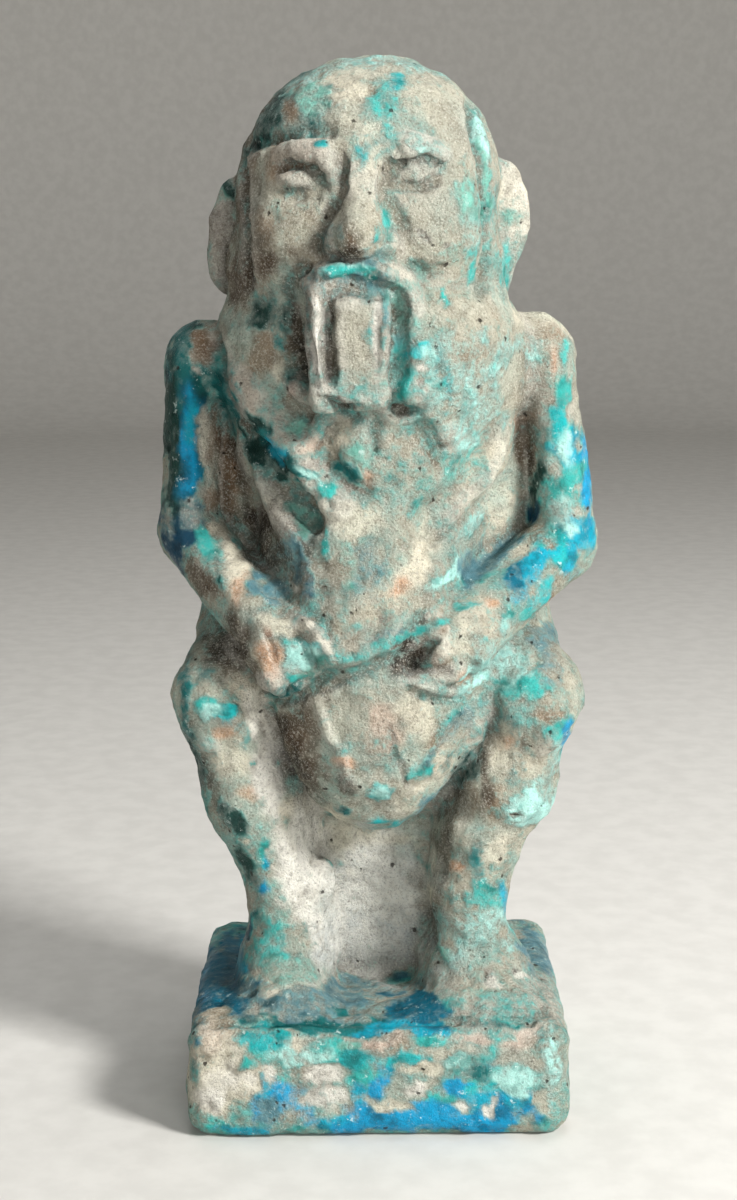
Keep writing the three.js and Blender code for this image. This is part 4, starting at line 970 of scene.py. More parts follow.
def colours_of_the_arms(skin):
    skin.glaze("teal", 0.85, (-21.2, 60, 1.3, 8))
    skin.glaze("blue", 1, (-19.5, 59.3, 1.5, 5.9, 3))
    skin.glaze("azure", 1, (-19.5, 59.9, 0.8, 4.6, 3))
    skin.stain_and_shade("cream", 0.85, (-17.7, 59.4, 0.8, 3.4, -6), (-17.3, 50.1, 0.8, 0.8))
    skin.stain_and_shade("tan", 1, (-16, 57.8, 1.1, 4, -8))
    # painted shade in the channel inside the left arm and under its forearm
    skin.stain_and_shade("brown_stain_and_shade", 0.85, (-14.4, 56.9, 0.8, 4.2, -15), (-12, 51.4, 1.5, 2.7, -30),
        (-18.5, 44.9, 0.8, 2.3, -25))
    skin.stain_and_shade("tan", 0.85, (-16.1, 53.1, 2.3, 1.7))
    skin.glaze("slate", 0.85, (-20, 52.9, 1.7, 0.7), (-12.5, 44.9, 0.7, 1.8, -10))
    skin.stain_and_shade("white", 0.85, (-19.4, 53.5, 0.5, 0.3))
    skin.glaze("deep", 1, (-20.7, 50.1, 2.3, 3.1))
    skin.glaze("turquoise", 0.85, (-18.2, 48.7, 0.6, 1.5, -15))
    skin.stain_and_shade("cream", 1, (-15.1, 47, 1.3, 2.9, -18))
    skin.stain_and_shade("peach", 0.7, (-14.1, 44.4, 0.8, 1.6))
    # painted shade in a crease of the left forearm
    skin.glaze("dark_green_glaze_and_shade", 0.7, (-16.5, 45.4, 0.3, 2.5, -14))
    skin.glaze("cyan", 1, (20.5, 58.7, 1.5, 2.5), (21.4, 49.6, 1.9, 2.5), (20.7, 46.7, 1.3, 1.3),
        (-19.2, 62, 0.6, 2.3, 3))
    skin.glaze("turquoise", 0.85, (19.6, 54.8, 1.5, 2.7), (17.7, 46.9, 1.2, 1.4),
        (15.5, 41.3, 2, 0.8, -38))
    skin.glaze("azure", 1, (22.4, 55.6, 0.4, 4.2, -4))
    skin.glaze("bright", 1, (19.4, 61.3, 1.3, 1.7), (19.4, 48.2, 1.2, 1.7, 10))
    skin.glaze("pale", 0.7, (20.1, 52.8, 1, 1.5))
    skin.stain_and_shade("tan", 0.85, (16.4, 58.9, 1.1, 2.3), (18.8, 42.8, 0.6, 0.5))
    # painted shade in the channel inside the right arm and down the left arm's outer edge
    skin.stain_and_shade("dark_shade_and_dirt", 0.7, (16.6, 57.6, 0.5, 1.5))
    skin.glaze("dark_green_glaze_and_shade", 1, (17.2, 55.4, 0.5, 2.1, 8), (-21.7, 60, 0.8, 7.4))
    skin.stain_and_shade("cream", 0.85, (15.5, 54.6, 1, 1))
    skin.stain_and_shade("cream", 0.7, (12.9, 58, 0.6, 2.7, 15))
    skin.glaze("cyan", 0.85, (15.8, 45.4, 3.1, 1.3, -40))
    skin.glaze("blue", 0.85, (14.1, 44.9, 1.4, 0.8, -40))
    skin.glaze("bright", 0.85, (17.7, 43.5, 1.9, 0.8, -35))
    skin.stain_and_shade("tan", 0.7, (18.3, 48.5, 0.6, 0.4))
    skin.stain_and_shade("peach", 0.85, (11.7, 42.5, 0.9, 0.6))
    skin.glaze("turquoise", 0.7, (8.8, 41.8, 1.4, 0.5))
    skin.glaze("pale", 0.85, (20, 59.1, 0.9, 1.5), (20.9, 50.1, 0.9, 1.3))
    skin.stain_and_shade("ice", 0.5, (-20, 52.3, 1.1, 2.1))


def colours_of_the_hands(skin):
    # painted shade beside the left fist and on the right fist's shaded side
    skin.stain_and_shade("brown_stain_and_shade", 0.85, (-14.5, 38.8, 1.6, 2.2, -25), (3.8, 36.8, 1.6, 1, -15),
        (4.8, 37.7, 0.6, 1.4, 30))
    skin.stain_and_shade("dark_shade_and_dirt", 0.7, (-13.1, 36.3, 0.8, 2.2, -20))
    skin.stain_and_shade("peach", 0.85, (-10.7, 36.3, 0.9, 2.2, -8))
    skin.stain_and_shade("rust", 0.7, (-11.1, 39.6, 0.4, 0.6))
    skin.glaze("turquoise", 0.7, (-8.6, 38.6, 1.6, 0.9, 20))
    skin.glaze("bright", 0.85, (-7, 37.3, 1.1, 0.8, 15))
    skin.stain_and_shade("cream", 0.85, (-5.3, 37.5, 0.4, 1.4, -35), (4.8, 39.3, 0.7, 0.8, 35),
        (-7.6, 39.8, 1.4, 0.5, -20))
    skin.glaze("turquoise", 1, (-7.9, 34.8, 1.8, 0.6, -18))
    skin.glaze("teal", 0.85, (-9.7, 33.2, 1.6, 0.4, -15))
    # painted shade on the right fist's shaded face and under it
    skin.stain_and_shade("dark_shade_and_dirt", 0.85, (3.2, 38.5, 0.8, 2, 25), (6.1, 35.1, 2, 0.5, 15), (3.8, 35.6, 1, 1.6, 20))
    skin.stain_and_shade("tan", 0.85, (6.7, 39.7, 0.7, 0.9))
    skin.stain_and_shade("cream", 0.7, (9.5, 39.3, 1.2, 0.8), (-10.3, 40.7, 1.8, 0.9, 8))
    skin.stain_and_shade("peach", 0.7, (9.3, 34.2, 1, 1))
    # painted shade in the notch of the right fist and under the left one
    skin.stain_and_shade("dark_shade_and_dirt", 1, (2.8, 37, 0.9, 2.6, 30))
    skin.stain_and_shade("brown_stain_and_shade", 0.7, (-12.2, 35.2, 0.4, 1.8, -14))
    skin.glaze("pale", 0.85, (-7.9, 36.7, 1.7, 1.2, 10))
    skin.stain_and_shade("cream", 0.5, (7.7, 37.7, 1.6, 1.4))


def colours_of_the_trunk(skin):
    skin.stain_and_shade("cream", 0.7, (-2.7, 51, 3.2, 1.6))
    skin.glaze("slate", 0.5, (-1.5, 46, 2, 3), (-0.7, 38.1, 3.4, 0.7, -24))
    skin.glaze("mint", 0.5, (-2.7, 46.9, 1.2, 2.2), (-4.8, 35.7, 3, 0.8, -14))
    skin.stain_and_shade("grey", 0.3, (-3.2, 43.8, 2, 2.6))
    skin.glaze("turquoise", 0.85, (-5, 48.4, 0.4, 1.8))
    skin.stain_and_shade("cream", 1, (3.9, 46.3, 1, 4, 28))
    skin.stain_and_shade("peach", 0.85, (2.2, 43.5, 0.6, 1.2, 25))
    skin.glaze("pale", 0.85, (7.4, 45.3, 0.7, 3.4, 50))
    skin.glaze("pale", 0.7, (9.9, 50.1, 0.8, 1.7, 40))
    skin.stain_and_shade("cream", 0.5, (9.8, 53.2, 1.2, 2.3, 40))
    skin.glaze("slate", 0.85, (12.4, 47.4, 1.4, 4.8, 52), (-11, 43.8, 1.6, 1))
    # painted shade in the channels beside the body and under the left forearm
    skin.stain_and_shade("dark_shade_and_dirt", 0.5, (16.4, 51.4, 1, 1.9, 30), (-9.6, 47.4, 1.6, 2.1, -10),
        (-13.4, 47.5, 1, 1.7, -20))
    skin.glaze("deep", 0.85, (17.1, 52.2, 0.6, 1.3, 20))
    skin.stain_and_shade("dark_shade_and_dirt", 0.7, (-11.1, 48.3, 2.1, 2.7, -15), (-7.4, 48.6, 1, 0.9, 20))
    skin.glaze("slate", 0.7, (-8.3, 46.7, 1.4, 2.6, -10))
    skin.glaze("deep", 0.7, (-7.4, 45, 1, 1.8))
    skin.stain_and_shade("white", 0.85, (-8.3, 44.2, 0.4, 0.4))
    skin.stain_and_shade("grey", 0.85, (-10.3, 54.1, 1.6, 1.2, 35))
    skin.glaze("mint", 0.7, (-7.8, 51.5, 1, 1.6, -20))
    skin.stain_and_shade("rust", 0.7, (-8.1, 49.2, 0.5, 0.3, 20))
    # painted shade in the channel on the viewer's left
    skin.stain_and_shade("brown_stain_and_shade", 0.7, (-9.3, 51.1, 0.6, 1.8, -30))
    skin.glaze("turquoise", 0.7, (-2.7, 37, 2.6, 0.7, -20), (2.4, 38.6, 5.9, 0.6, -22))
    # a dark crack, and painted shade in the left channel
    skin.stain_and_shade("dark_shade_and_dirt", 0.85, (0.6, 40.8, 0.2, 0.8, -10), (-12.8, 51.5, 1.1, 2.5, -30))


def colours_of_the_belly(skin):
    # painted shade on the belly's left flank
    skin.stain_and_shade("brown_stain_and_shade", 0.85, (-9.7, 28.8, 1.8, 3.7, -18), (-6.9, 24, 1.4, 3, -25))
    skin.stain_and_shade("buff", 0.7, (-2.8, 30.7, 3.4, 2.8))
    skin.stain_and_shade("cream", 0.7, (3.4, 30.6, 2.4, 2.2), (5, 22.8, 1.4, 0.7, -30))
    skin.stain_and_shade("pink", 0.7, (0.3, 29.1, 1.8, 2.2))
    skin.stain_and_shade("peach", 0.85, (-3.4, 25.3, 1.2, 0.6))
    # painted shade low on the belly
    skin.stain_and_shade("dark_shade_and_dirt", 0.7, (-3.1, 23.6, 1.2, 0.9, 30))
    skin.glaze("bright", 1, (0.3, 22.5, 1.2, 0.9, -20), (0.9, 18.7, 1.4, 0.5, -15))
    skin.glaze("teal", 0.85, (-3.3, 19.9, 1, 0.6, -20))
    skin.glaze("pale", 0.7, (6.5, 27.3, 0.8, 4, 42))
    skin.glaze("turquoise", 0.7, (7.8, 29.7, 0.5, 2.6, 42), (4.5, 24.4, 2, 0.5, -20))
    skin.glaze("slate", 0.7, (5.4, 21, 2.5, 0.4, -38))
    skin.stain_and_shade("brown_stain_and_shade", 0.5, (1.5, 28, 0.2, 2, -5), (2.7, 24.1, 0.2, 1.4, -10))
    # more painted shade on the belly's left flank and under its lower edge
    skin.stain_and_shade("dark_shade_and_dirt", 0.85, (-10.7, 29.6, 0.9, 2.7, -16), (-8.1, 24.7, 0.8, 2.9, -28))
    skin.stain_and_shade("brown_stain_and_shade", 0.7, (-7.5, 29.5, 1.4, 2.4, -12))
    skin.stain_and_shade("dark_shade_and_dirt", 0.5, (-6.3, 21.1, 1.4, 0.6, 30))
    skin.glaze("pale", 0.85, (0.3, 22.5, 0.9, 0.7, -20))
    skin.glaze("slate", 0.5, (7.8, 28.3, 0.8, 4, 42))


def colours_of_the_legs(skin):
    skin.glaze("pale", 0.85, (10.9, 35.5, 0.8, 3.4, 42), (16.2, 20.2, 2.4, 2.2, -20),
        (13.2, 9, 0.8, 2.1, -15))
    skin.glaze("turquoise", 0.85, (19.3, 27.3, 1, 2.9, 8), (17.9, 27.8, 0.6, 1.4),
        (-17.5, 31.8, 0.9, 1.2), (-12.2, 15.4, 0.7, 1.2, 25))
    skin.glaze("mint", 0.85, (16, 33, 1.4, 0.8))
    skin.stain_and_shade("grey", 0.85, (18.9, 37.2, 1.2, 2.9, -8))
    skin.stain_and_shade("tan", 0.7, (17.9, 30.4, 1.2, 1), (9.9, 20.9, 0.8, 1.4, 10))
    skin.glaze("azure", 0.85, (20, 28, 0.5, 1.8, 8))
    # painted shade on the inner side of the right leg and the wall beside it
    skin.stain_and_shade("dark_shade_and_dirt", 0.7, (12.2, 30.1, 0.6, 1.4), (15.4, 27.2, 0.4, 1, 10), (7.2, 15.2, 0.8, 3.5))
    skin.stain_and_shade("buff", 0.85, (13.6, 26.3, 1.2, 2.7, 5))
    skin.stain_and_shade("peach", 0.7, (13.8, 27.4, 0.8, 0.8))
    skin.stain_and_shade("cream", 0.5, (17.2, 25.4, 1, 2.2, 15))
    skin.stain_and_shade("dark_shade_and_dirt", 1, (14.8, 19.4, 0.5, 0.3, -20))
    # painted shade on the inner face of the right leg, in brown and dark green
    skin.stain_and_shade("brown_stain_and_shade", 0.85, (11.5, 22.8, 0.6, 3.5, 5))
    skin.stain_and_shade("brown_stain_and_shade", 0.7, (8.7, 20.8, 1, 3.5, 10))
    skin.stain_and_shade("grey", 0.7, (9.3, 20.2, 0.8, 3.1, 10))
    skin.glaze("dark_green_glaze_and_shade", 0.7, (9.7, 24.4, 1.4, 1.6, 30))
    skin.glaze("teal", 0.85, (10.7, 13.5, 0.8, 2.7, 10))
    skin.stain_and_shade("cream", 0.7, (12.8, 15.2, 0.8, 2.7, 15))
    skin.stain_and_shade("peach", 0.85, (8.4, 13.6, 0.6, 0.6))
    # painted shade on the left thigh
    skin.stain_and_shade("dark_shade_and_dirt", 0.5, (-16.1, 37.4, 1.9, 2.7, 20))
    skin.glaze("teal", 0.7, (-18, 35.1, 0.9, 0.5, -15))
    skin.stain_and_shade("cream", 0.85, (-12.2, 29.3, 1.2, 3.5, -8), (-14.3, 16.4, 0.5, 0.6))
    skin.stain_and_shade("white", 0.85, (-11.2, 24.3, 1.2, 3.5, -10), (-12.2, 28.2, 1.4, 4.1, -8),
        (-11.6, 22.2, 1.4, 3.1, -12))
    skin.stain_and_shade("cream", 0.7, (-15.6, 25.5, 1.8, 2.5, -10), (13, 26.7, 0.9, 1.6, 5))
    skin.glaze("turquoise", 0.85, (15.4, 33.9, 2.6, 1.5))
    skin.glaze("bright", 1, (-16, 30.4, 1, 0.8), (-15.8, 30.3, 0.7, 0.5))
    skin.stain_and_shade("peach", 0.7, (-16.1, 28.6, 1.2, 0.4, 10))
    skin.glaze("turquoise", 0.7, (-13, 24.8, 0.5, 0.5), (11.4, 9.8, 1.8, 2.9))
    skin.stain_and_shade("peach", 0.5, (-13.9, 21.6, 1.4, 0.7))
    # painted shade down the outer side of the left leg
    skin.stain_and_shade("dark_shade_and_dirt", 0.7, (-18.4, 24.3, 0.7, 3.5, -14), (-16.6, 19, 0.8, 2.3, -28))
    skin.glaze("dark_green_glaze_and_shade", 1, (-15.9, 19.1, 0.8, 2.3, -28), (-14.2, 13.4, 0.8, 2.5, -22))
    skin.glaze("cyan", 1, (-12.2, 13.3, 0.4, 0.7))
    skin.glaze("azure", 1, (-12.5, 11, 0.6, 0.8))
    skin.stain_and_shade("white", 1, (-9.9, 13, 1.7, 4.5, -6))
    # more painted shade down the left leg's outer side and on the thigh
    skin.glaze("dark_green_glaze_and_shade", 0.85, (-16.2, 19.1, 0.7, 2.1, -28), (-19.5, 27.1, 0.6, 4.1, -14))
    skin.stain_and_shade("dark_shade_and_dirt", 0.85, (-16.3, 36.9, 2.1, 1.9, 10))
    skin.glaze("pale", 0.85, (-17, 30.9, 0.8, 0.8))
    skin.glaze("teal", 0.85, (-20.3, 33, 0.7, 4.5))
    skin.glaze("slate", 0.5, (18.1, 37.2, 1.4, 3.5, -8))
    skin.glaze("pale", 0.5, (12.8, 36.7, 2.5, 2.7, 30), (18.6, 23.6, 1.2, 3.1))
    skin.glaze("slate", 0.7, (17.8, 38.3, 1.5, 2.1))
    skin.glaze("cyan", 0.85, (14.2, 8.6, 0.5, 2.7, -15))


def colours_of_the_wall(skin):
    skin.stain_and_shade("ice", 0.7, (-0.3, 9.8, 6.4, 6.4))
    skin.stain_and_shade("cream", 1, (-8.3, 20.2, 1.7, 2.3, -25))
    skin.stain_and_shade("white", 0.85, (-7.6, 9.5, 1.4, 4.1, -12), (-6.5, 4.3, 0.8, 3.1, -5))
    skin.stain_and_shade("cream", 0.85, (5.2, 9.2, 1.5, 1.1), (-4.1, 16.2, 2.3, 2.8, -12))
    skin.stain_and_shade("cream", 0.7, (2, 15.8, 2.3, 0.6))
    skin.stain_and_shade("grey", 0.7, (-0.9, 2.1, 4.7, 3.6))
    # painted shade beside the right leg on the wall behind the legs
    skin.stain_and_shade("dark_shade_and_dirt", 0.7, (6.3, 6.9, 0.8, 4.2, 5))
    skin.stain_and_shade("dark_shade_and_dirt", 1, (4.3, 1.8, 0.4, 0.3))
    skin.stain_and_shade("white", 1, (-7.1, 13.8, 1.5, 6.3, -8))
    skin.stain_and_shade("ice", 0.85, (-0.9, 3.3, 5.3, 3.2))
    skin.stain_and_shade("white", 0.7, (-0.6, 10, 4.7, 5.3), (-1.3, 2.7, 3.6, 2.8))


def colours_of_the_feet(skin):
    skin.glaze("mint", 0.7, (-11.5, 6.8, 1.7, 2.5))
    skin.glaze("teal", 0.7, (-11.2, 3, 1.8, 2.3))
    skin.glaze("bright", 0.85, (-8.5, 1.4, 1.1, 0.8))
    skin.glaze("deep", 1, (-14, 5.3, 0.5, 3.1, 15))
    skin.glaze("blue", 1, (-17.6, -0.7, 4.6, 2.7, -32))
    skin.glaze("azure", 1, (-18.5, -0.8, 1.9, 0.9, -30))
    skin.glaze("cyan", 1, (-14.8, 1.7, 0.8, 0.8, -30))
    skin.stain_and_shade("grey", 0.85, (-13.9, 3.7, 0.6, 0.6))
    skin.glaze("pale", 0.7, (11.7, 6.9, 2.7, 1.6))
    skin.stain_and_shade("cream", 0.7, (8, 4.9, 0.7, 1))
    skin.glaze("mint", 0.85, (7, 3.7, 0.8, 0.5))
    skin.glaze("turquoise", 0.7, (15.8, 5.9, 1.7, 1.3, 25), (-12, 5.1, 1.7, 3.5))
    skin.glaze("slate", 0.85, (16.9, 2.8, 2.7, 0.4, 30), (18.7, 0.8, 3.1, 0.7, 30))
    skin.stain_and_shade("white", 0.85, (12.2, 1.3, 0.9, 0.5, 20), (15.8, 1.1, 0.8, 0.3, 20))
    skin.stain_and_shade("dark_shade_and_dirt", 1, (11.7, 1.5, 0.3, 0.3), (15.1, 1.8, 0.4, 0.3))
    skin.glaze("mint", 0.5, (-9.9, 1.6, 2.2, 1.4))
    skin.glaze("pale", 0.5, (9.7, 5.7, 3.5, 2.1))


def colours_of_the_plinth(skin):
    skin.stain_and_shade("grey", 0.5, (-6.2, -1.3, 7.1, 1.4))
    skin.glaze("slate", 0.5, (-5.2, -1.9, 9.1, 1.2))
    skin.glaze("mint", 0.5, (11.8, -0.6, 4.4, 2.2))
    skin.glaze("teal", 1, (-4.1, -3, 8.4, 0.6, 2))
    skin.glaze("blue", 1, (4.6, -2.3, 3.4, 1.5))
    skin.glaze("cyan", 1, (2.2, -3.4, 4.9, 0.4))
    skin.glaze("teal", 0.7, (12.8, -2.7, 3.6, 0.6, -6))
    skin.glaze("slate", 0.7, (-8.4, -0.9, 9.1, 1))
    skin.glaze("turquoise", 0.5, (12.9, -1.2, 4.4, 1.3))
    skin.stain_and_shade("tan", 0.7, (-17.3, -3.4, 2, 1))
    skin.stain_and_shade("pink", 0.85, (-18.1, -4.2, 1, 1.2), (-0.1, -4.5, 2.2, 0.7), (10.4, -4.3, 1.8, 0.6),
        (15, -4.2, 1.6, 0.8, -20))
    skin.stain_and_shade("cream", 0.85, (-9.1, -4.9, 0.9, 1.2))
    skin.glaze("turquoise", 0.85, (-11.9, -4.7, 1.6, 1.3), (-5.1, -4.8, 2, 1.2), (5.4, -4.3, 1.8, 0.6),
        (14.8, -8.5, 2.2, 1.8), (-1.4, -8.2, 1.4, 1.4), (-7.2, -6.4, 3.9, 0.5), (6.4, -11, 1.6, 1),
        (-13.5, -7.4, 0.9, 2))
    skin.glaze("mint", 0.7, (-3, -4.8, 1.4, 0.8))
    skin.stain_and_shade("buff", 0.7, (7.5, -5.6, 3.3, 0.8), (17, -11.6, 1.2, 1.2))
    skin.stain_and_shade("grey", 0.7, (15.3, -6.1, 2.2, 1.4))
    skin.glaze("cyan", 0.85, (0.6, -7.3, 1, 1.4), (14, -10.6, 1.8, 1.4), (-14.7, -14.3, 3, 0.4),
        (-12.3, -9.8, 1.4, 2, 10), (9.6, -10.1, 1.6, 0.8), (-4.1, -13.4, 3.9, 0.6),
        (-1.8, -10.9, 0.8, 1.6))
    skin.glaze("teal", 0.7, (10.4, -7.8, 1.8, 0.8))
    skin.glaze("azure", 0.7, (-9.4, -10.8, 2.6, 2))
    skin.glaze("azure", 0.85, (0.1, -9.8, 1, 1.2), (-12.7, -12.1, 1, 1.2))
    skin.glaze("azure", 1, (7.7, -9.6, 1.2, 0.7), (3.3, -13.2, 7.1, 1.8, -3),
        (11.7, -13, 4.3, 1.4, -3), (5.4, -11.9, 2.9, 0.8))
    skin.glaze("slate", 0.85, (-11.5, -12.1, 1.6, 1.4))
    skin.stain_and_shade("cream", 1, (-16.3, -9.2, 3.1, 3.3))
    skin.stain_and_shade("white", 0.85, (-17.6, -10.8, 1.4, 1.6), (-11.6, -8.1, 0.7, 0.9),
        (-5.4, -10.9, 2.2, 1.2), (8.7, -11.4, 1.2, 0.5), (-5.6, -8.4, 1.6, 0.8))
    skin.stain_and_shade("white", 1, (-5.7, -8, 2, 1.2), (3.9, -9.8, 1.1, 0.7), (11.7, -11.9, 0.8, 0.8))
    skin.stain_and_shade("cream", 0.85, (4.7, -7.6, 2.2, 0.9), (1.4, -11.4, 2, 0.7, 8))
    skin.glaze("pale", 0.7, (18.2, -7.7, 0.7, 3.9), (-8.3, -5.5, 2.9, 1), (7.7, -6.7, 1.6, 0.8))
    skin.glaze("bright", 0.85, (-12.7, -4.2, 2.2, 0.8), (2.2, -6.4, 2.9, 0.6),
        (11.7, -9.6, 2.2, 0.6, -10), (-2.8, -6.4, 1.6, 1))
    skin.glaze("pale", 0.85, (14.8, -8.5, 1.8, 1.4))
    skin.glaze("cyan", 1, (10.6, -11, 1.4, 0.8))
    skin.stain_and_shade("white", 0.7, (-16.5, -8.5, 2.4, 2.4))
    skin.glaze("blue", 1, (-17.3, -0.8, 2.5, 1.6))
    skin.stain_and_shade("cream", 0.5, (-18.2, -5.5, 2, 3.1))


def pits(places, outward):
    """How deep each point lies in one of the small pits scattered over the surface."""
    rng = np.random.default_rng(PIT_SEED)
    depth = np.zeros(len(places))
    front = outward[:, 1] < 0
    for x, z in NAMED_PITS:
        far = np.hypot(places[:, 0] - x, places[:, 2] - z) / NAMED_PIT_SIZE
        depth = np.maximum(depth, NAMED_PIT_SIZE * np.clip(1 - far * far, 0, 1) * front)
    for start in rng.integers(0, len(places), PIT_COUNT):
        size = rng.uniform(*PIT_SIZES)
        far = np.linalg.norm(places - places[start], axis=1) / size
        depth = np.maximum(depth, PIT_DEPTH * size * np.clip(1 - far * far, 0, 1))
    return depth


def covered(skin):
    """Glaze all round: patchy, thicker behind and on the plinth's sides, over a stained body."""
    broad = clouds(skin.places, 15, 41)
    small = clouds(skin.places, 4.5, 51)
    behind = smooth(-0.1, 0.5, skin.outward[:, 1])
    plinth_side = smooth(0.5, -0.5, skin.places[:, 2])
    skin.cover += 0.16 * broad + 0.15 * small + 0.12 * behind + 0.22 * plinth_side
    for colour, size, seed, start in GLAZE_CLOUDS:
        share = smooth(start, start + CLOUD_EDGE, clouds(skin.places, size, seed))[:, None]
        skin.tint += (ink(GLAZE[colour]) - skin.tint) * share
    for colour, size, seed, start in BODY_CLOUDS:
        share = smooth(start, start + CLOUD_EDGE, clouds(skin.places, size, seed))[:, None]
        skin.body += (ink(BODY[colour]) - skin.body) * share * 0.8
    wash = 0.4 * smooth(-0.5, 0.6, clouds(skin.places, 3, 151))[:, None]
    skin.body += (ink(GLAZE["pale"]) * 0.8 - skin.body) * wash


def mottled(skin):
    """Breaks every patch up; hollows hold more glaze and are darkened as painted shade, and edges are
    lightened towards white as wear and painted highlight.
    """
    hollow = HOLLOW_REACH - clay.at(skin.places + skin.outward * HOLLOW_REACH)
    skin.cover += 0.16 * clouds(skin.places, 1.1, 121) + HOLLOW_GLAZE * np.clip(hollow, 0, 1)
    # painted shade: the body, and the glaze less, darken in hollows
    shade = 1 - HOLLOW_SHADE * smooth(0.1, 1.1, hollow)[:, None]
    # worn edges and painted highlight: convex edges lighten towards white
    edge = EDGE_REACH + clay.at(skin.places - skin.outward * EDGE_REACH)
    skin.body += (ink(BODY["white"]) - skin.body) * EDGE_WEAR_AND_HIGHLIGHT * smooth(0.15, 1.0, edge)[:, None]
    skin.body *= shade
    skin.tint *= 0.4 + 0.6 * shade
    # light and dark blotches; glaze pales where it is thin
    blotch = clouds(skin.places, 1.3, 161)[:, None]
    thin = 1 - skin.cover[:, None]
    skin.tint += (ink(GLAZE["pale"]) * shade - skin.tint) * 0.45 * smooth(0.2, 1.0, blotch) * thin
    skin.tint *= 1 - 0.35 * smooth(0.1, 0.9, -blotch)
    skin.body *= 1 - 0.25 * smooth(0.1, 0.9, -blotch)
    skin.cover = np.clip(skin.cover, 0, 1)


clay = Clay()
for shape in (
    trunk, plinth, legs, feet, torso, breasts, belly, channels, arms, hands, belt,
    head, mane, ears, face, eyes, nose, moustache, beard, locks, rim,
    finer_face, finer_beard, finer_mane, finer_hands, finer_body,
):
    shape(clay)

depths, real_place = grid()
points, quads = quilt(fill_pinches(depths))
places, outward = settle(real_place(points))
underside = places[:, 2] < UNDERSIDE_BAND - PLINTH_HEIGHT

skin = Skin(places, outward)
covered(skin)
for colours in (
    colours_of_the_dome, colours_of_the_face, colours_of_the_ears, colours_of_the_beard,
    colours_of_the_mane, colours_of_the_shoulders, colours_of_the_arms, colours_of_the_hands,
    colours_of_the_trunk, colours_of_the_belly, colours_of_the_wall, colours_of_the_legs,
    colours_of_the_feet, colours_of_the_plinth,
):
    colours(skin)
mottled(skin)

relief = sum(high * cloud(places, size, seed) for size, high, seed in ROUGHNESS)
relief *= 1.1 - 0.5 * smooth(0.4, 0.9, skin.cover)
relief -= pits(places, outward)
relief += GLAZE_THICKNESS * smooth(0.35, 0.75, skin.cover)
relief[underside] = 0
places = places + outward * relief[:, None]
places[:, 2] = np.maximum(places[:, 2], -PLINTH_HEIGHT)


class Shader:
    """Short ways to join the nodes of one material."""

    def __init__(self, name):
        self.material = bpy.data.materials.new(name)
        self.material.use_nodes = True
        self.tree = self.material.node_tree
        self.nodes = self.tree.nodes
        self.nodes.clear()
        self.place = self.nodes.new("ShaderNodeTexCoord").outputs["Object"]

    def link(self, source, target):
        """Joins a socket to another, or writes a plain number or colour straight into it."""
        if isinstance(source, (int, float, tuple)):
            target.default_value = source
        else:
            self.tree.links.new(source, target)

    def attribute(self, name, output):
        node = self.nodes.new("ShaderNodeAttribute")
        node.attribute_name = name
        return node.outputs[output]

    def noise(self, size, detail=2.0, rough=0.55):
        """Noise from 0 to 1 with lumps of about the given size in millimetres."""
        node = self.nodes.new("ShaderNodeTexNoise")
        node.inputs["Scale"].default_value = 1 / (size * MILLIMETRE)
        node.inputs["Detail"].default_value = detail
        node.inputs["Roughness"].default_value = rough
        self.link(self.place, node.inputs["Vector"])
        return node.outputs["Fac"]

    def cells(self, size):
        """Distance from the middles of scattered cells of about the given size."""
        node = self.nodes.new("ShaderNodeTexVoronoi")
        node.inputs["Scale"].default_value = 1 / (size * MILLIMETRE)
        self.link(self.place, node.inputs["Vector"])
        return node.outputs["Distance"]

    def sum(self, *parts):
        """Adds up value * factor for every pair given, and the plain numbers."""
        total = 0.0
        for part in parts:
            value, factor = part if isinstance(part, tuple) else (part, 1.0)
            node = self.nodes.new("ShaderNodeMath")
            node.operation = "MULTIPLY_ADD"
            self.link(value, node.inputs[0])
            node.inputs[1].default_value = factor
            self.link(total, node.inputs[2])
            total = node.outputs[0]
        return total

    def span(self, value, start, end, low=0.0, high=1.0):
        """Runs softly from low to high while the value goes from start to end."""
        node = self.nodes.new("ShaderNodeMapRange")
        node.interpolation_type = "SMOOTHSTEP"
        self.link(value, node.inputs["Value"])
        node.inputs["From Min"].default_value = start
        node.inputs["From Max"].default_value = end
        node.inputs["To Min"].default_value = low
        node.inputs["To Max"].default_value = high
        return node.outputs["Result"]

    def product(self, a, b):
        node = self.nodes.new("ShaderNodeMath")
        node.operation = "MULTIPLY"
        self.link(a, node.inputs[0])
        self.link(b, node.inputs[1])
        return node.outputs[0]

    def mix(self, share, a, b, way="MIX"):
        node = self.nodes.new("ShaderNodeMix")
        node.data_type = "RGBA"
        node.blend_type = way
        self.link(share, node.inputs["Factor"])
        self.link(a, node.inputs["A"])
        self.link(b, node.inputs["B"])
        return node.outputs["Result"]


def colour(code):
    return (*ink(code), 1.0)


# Noises of the faience: size in millimetres, detail, roughness
GRAIN = (0.32, 4.0, 0.75)
SPECKLE = (1.0, 3.0, 0.55)
MOTTLE = (3.6, 4.0, 0.6)
FLECKS_AND_GLINTS = (1.6, 5.0, 0.8)
PINHOLE_CELLS = 2.8

# Where glaze begins and ends to hide the body, and where it is thin
GLAZED = (0.22, 0.76)
THIN = (0.50, 0.95)
ROUGH_BODY = 0.68
GLAZE_GLOSS = 0.44
SPECULAR = 0.22
PINHOLE_DIRT = 0.8
PINHOLE = "241d16"


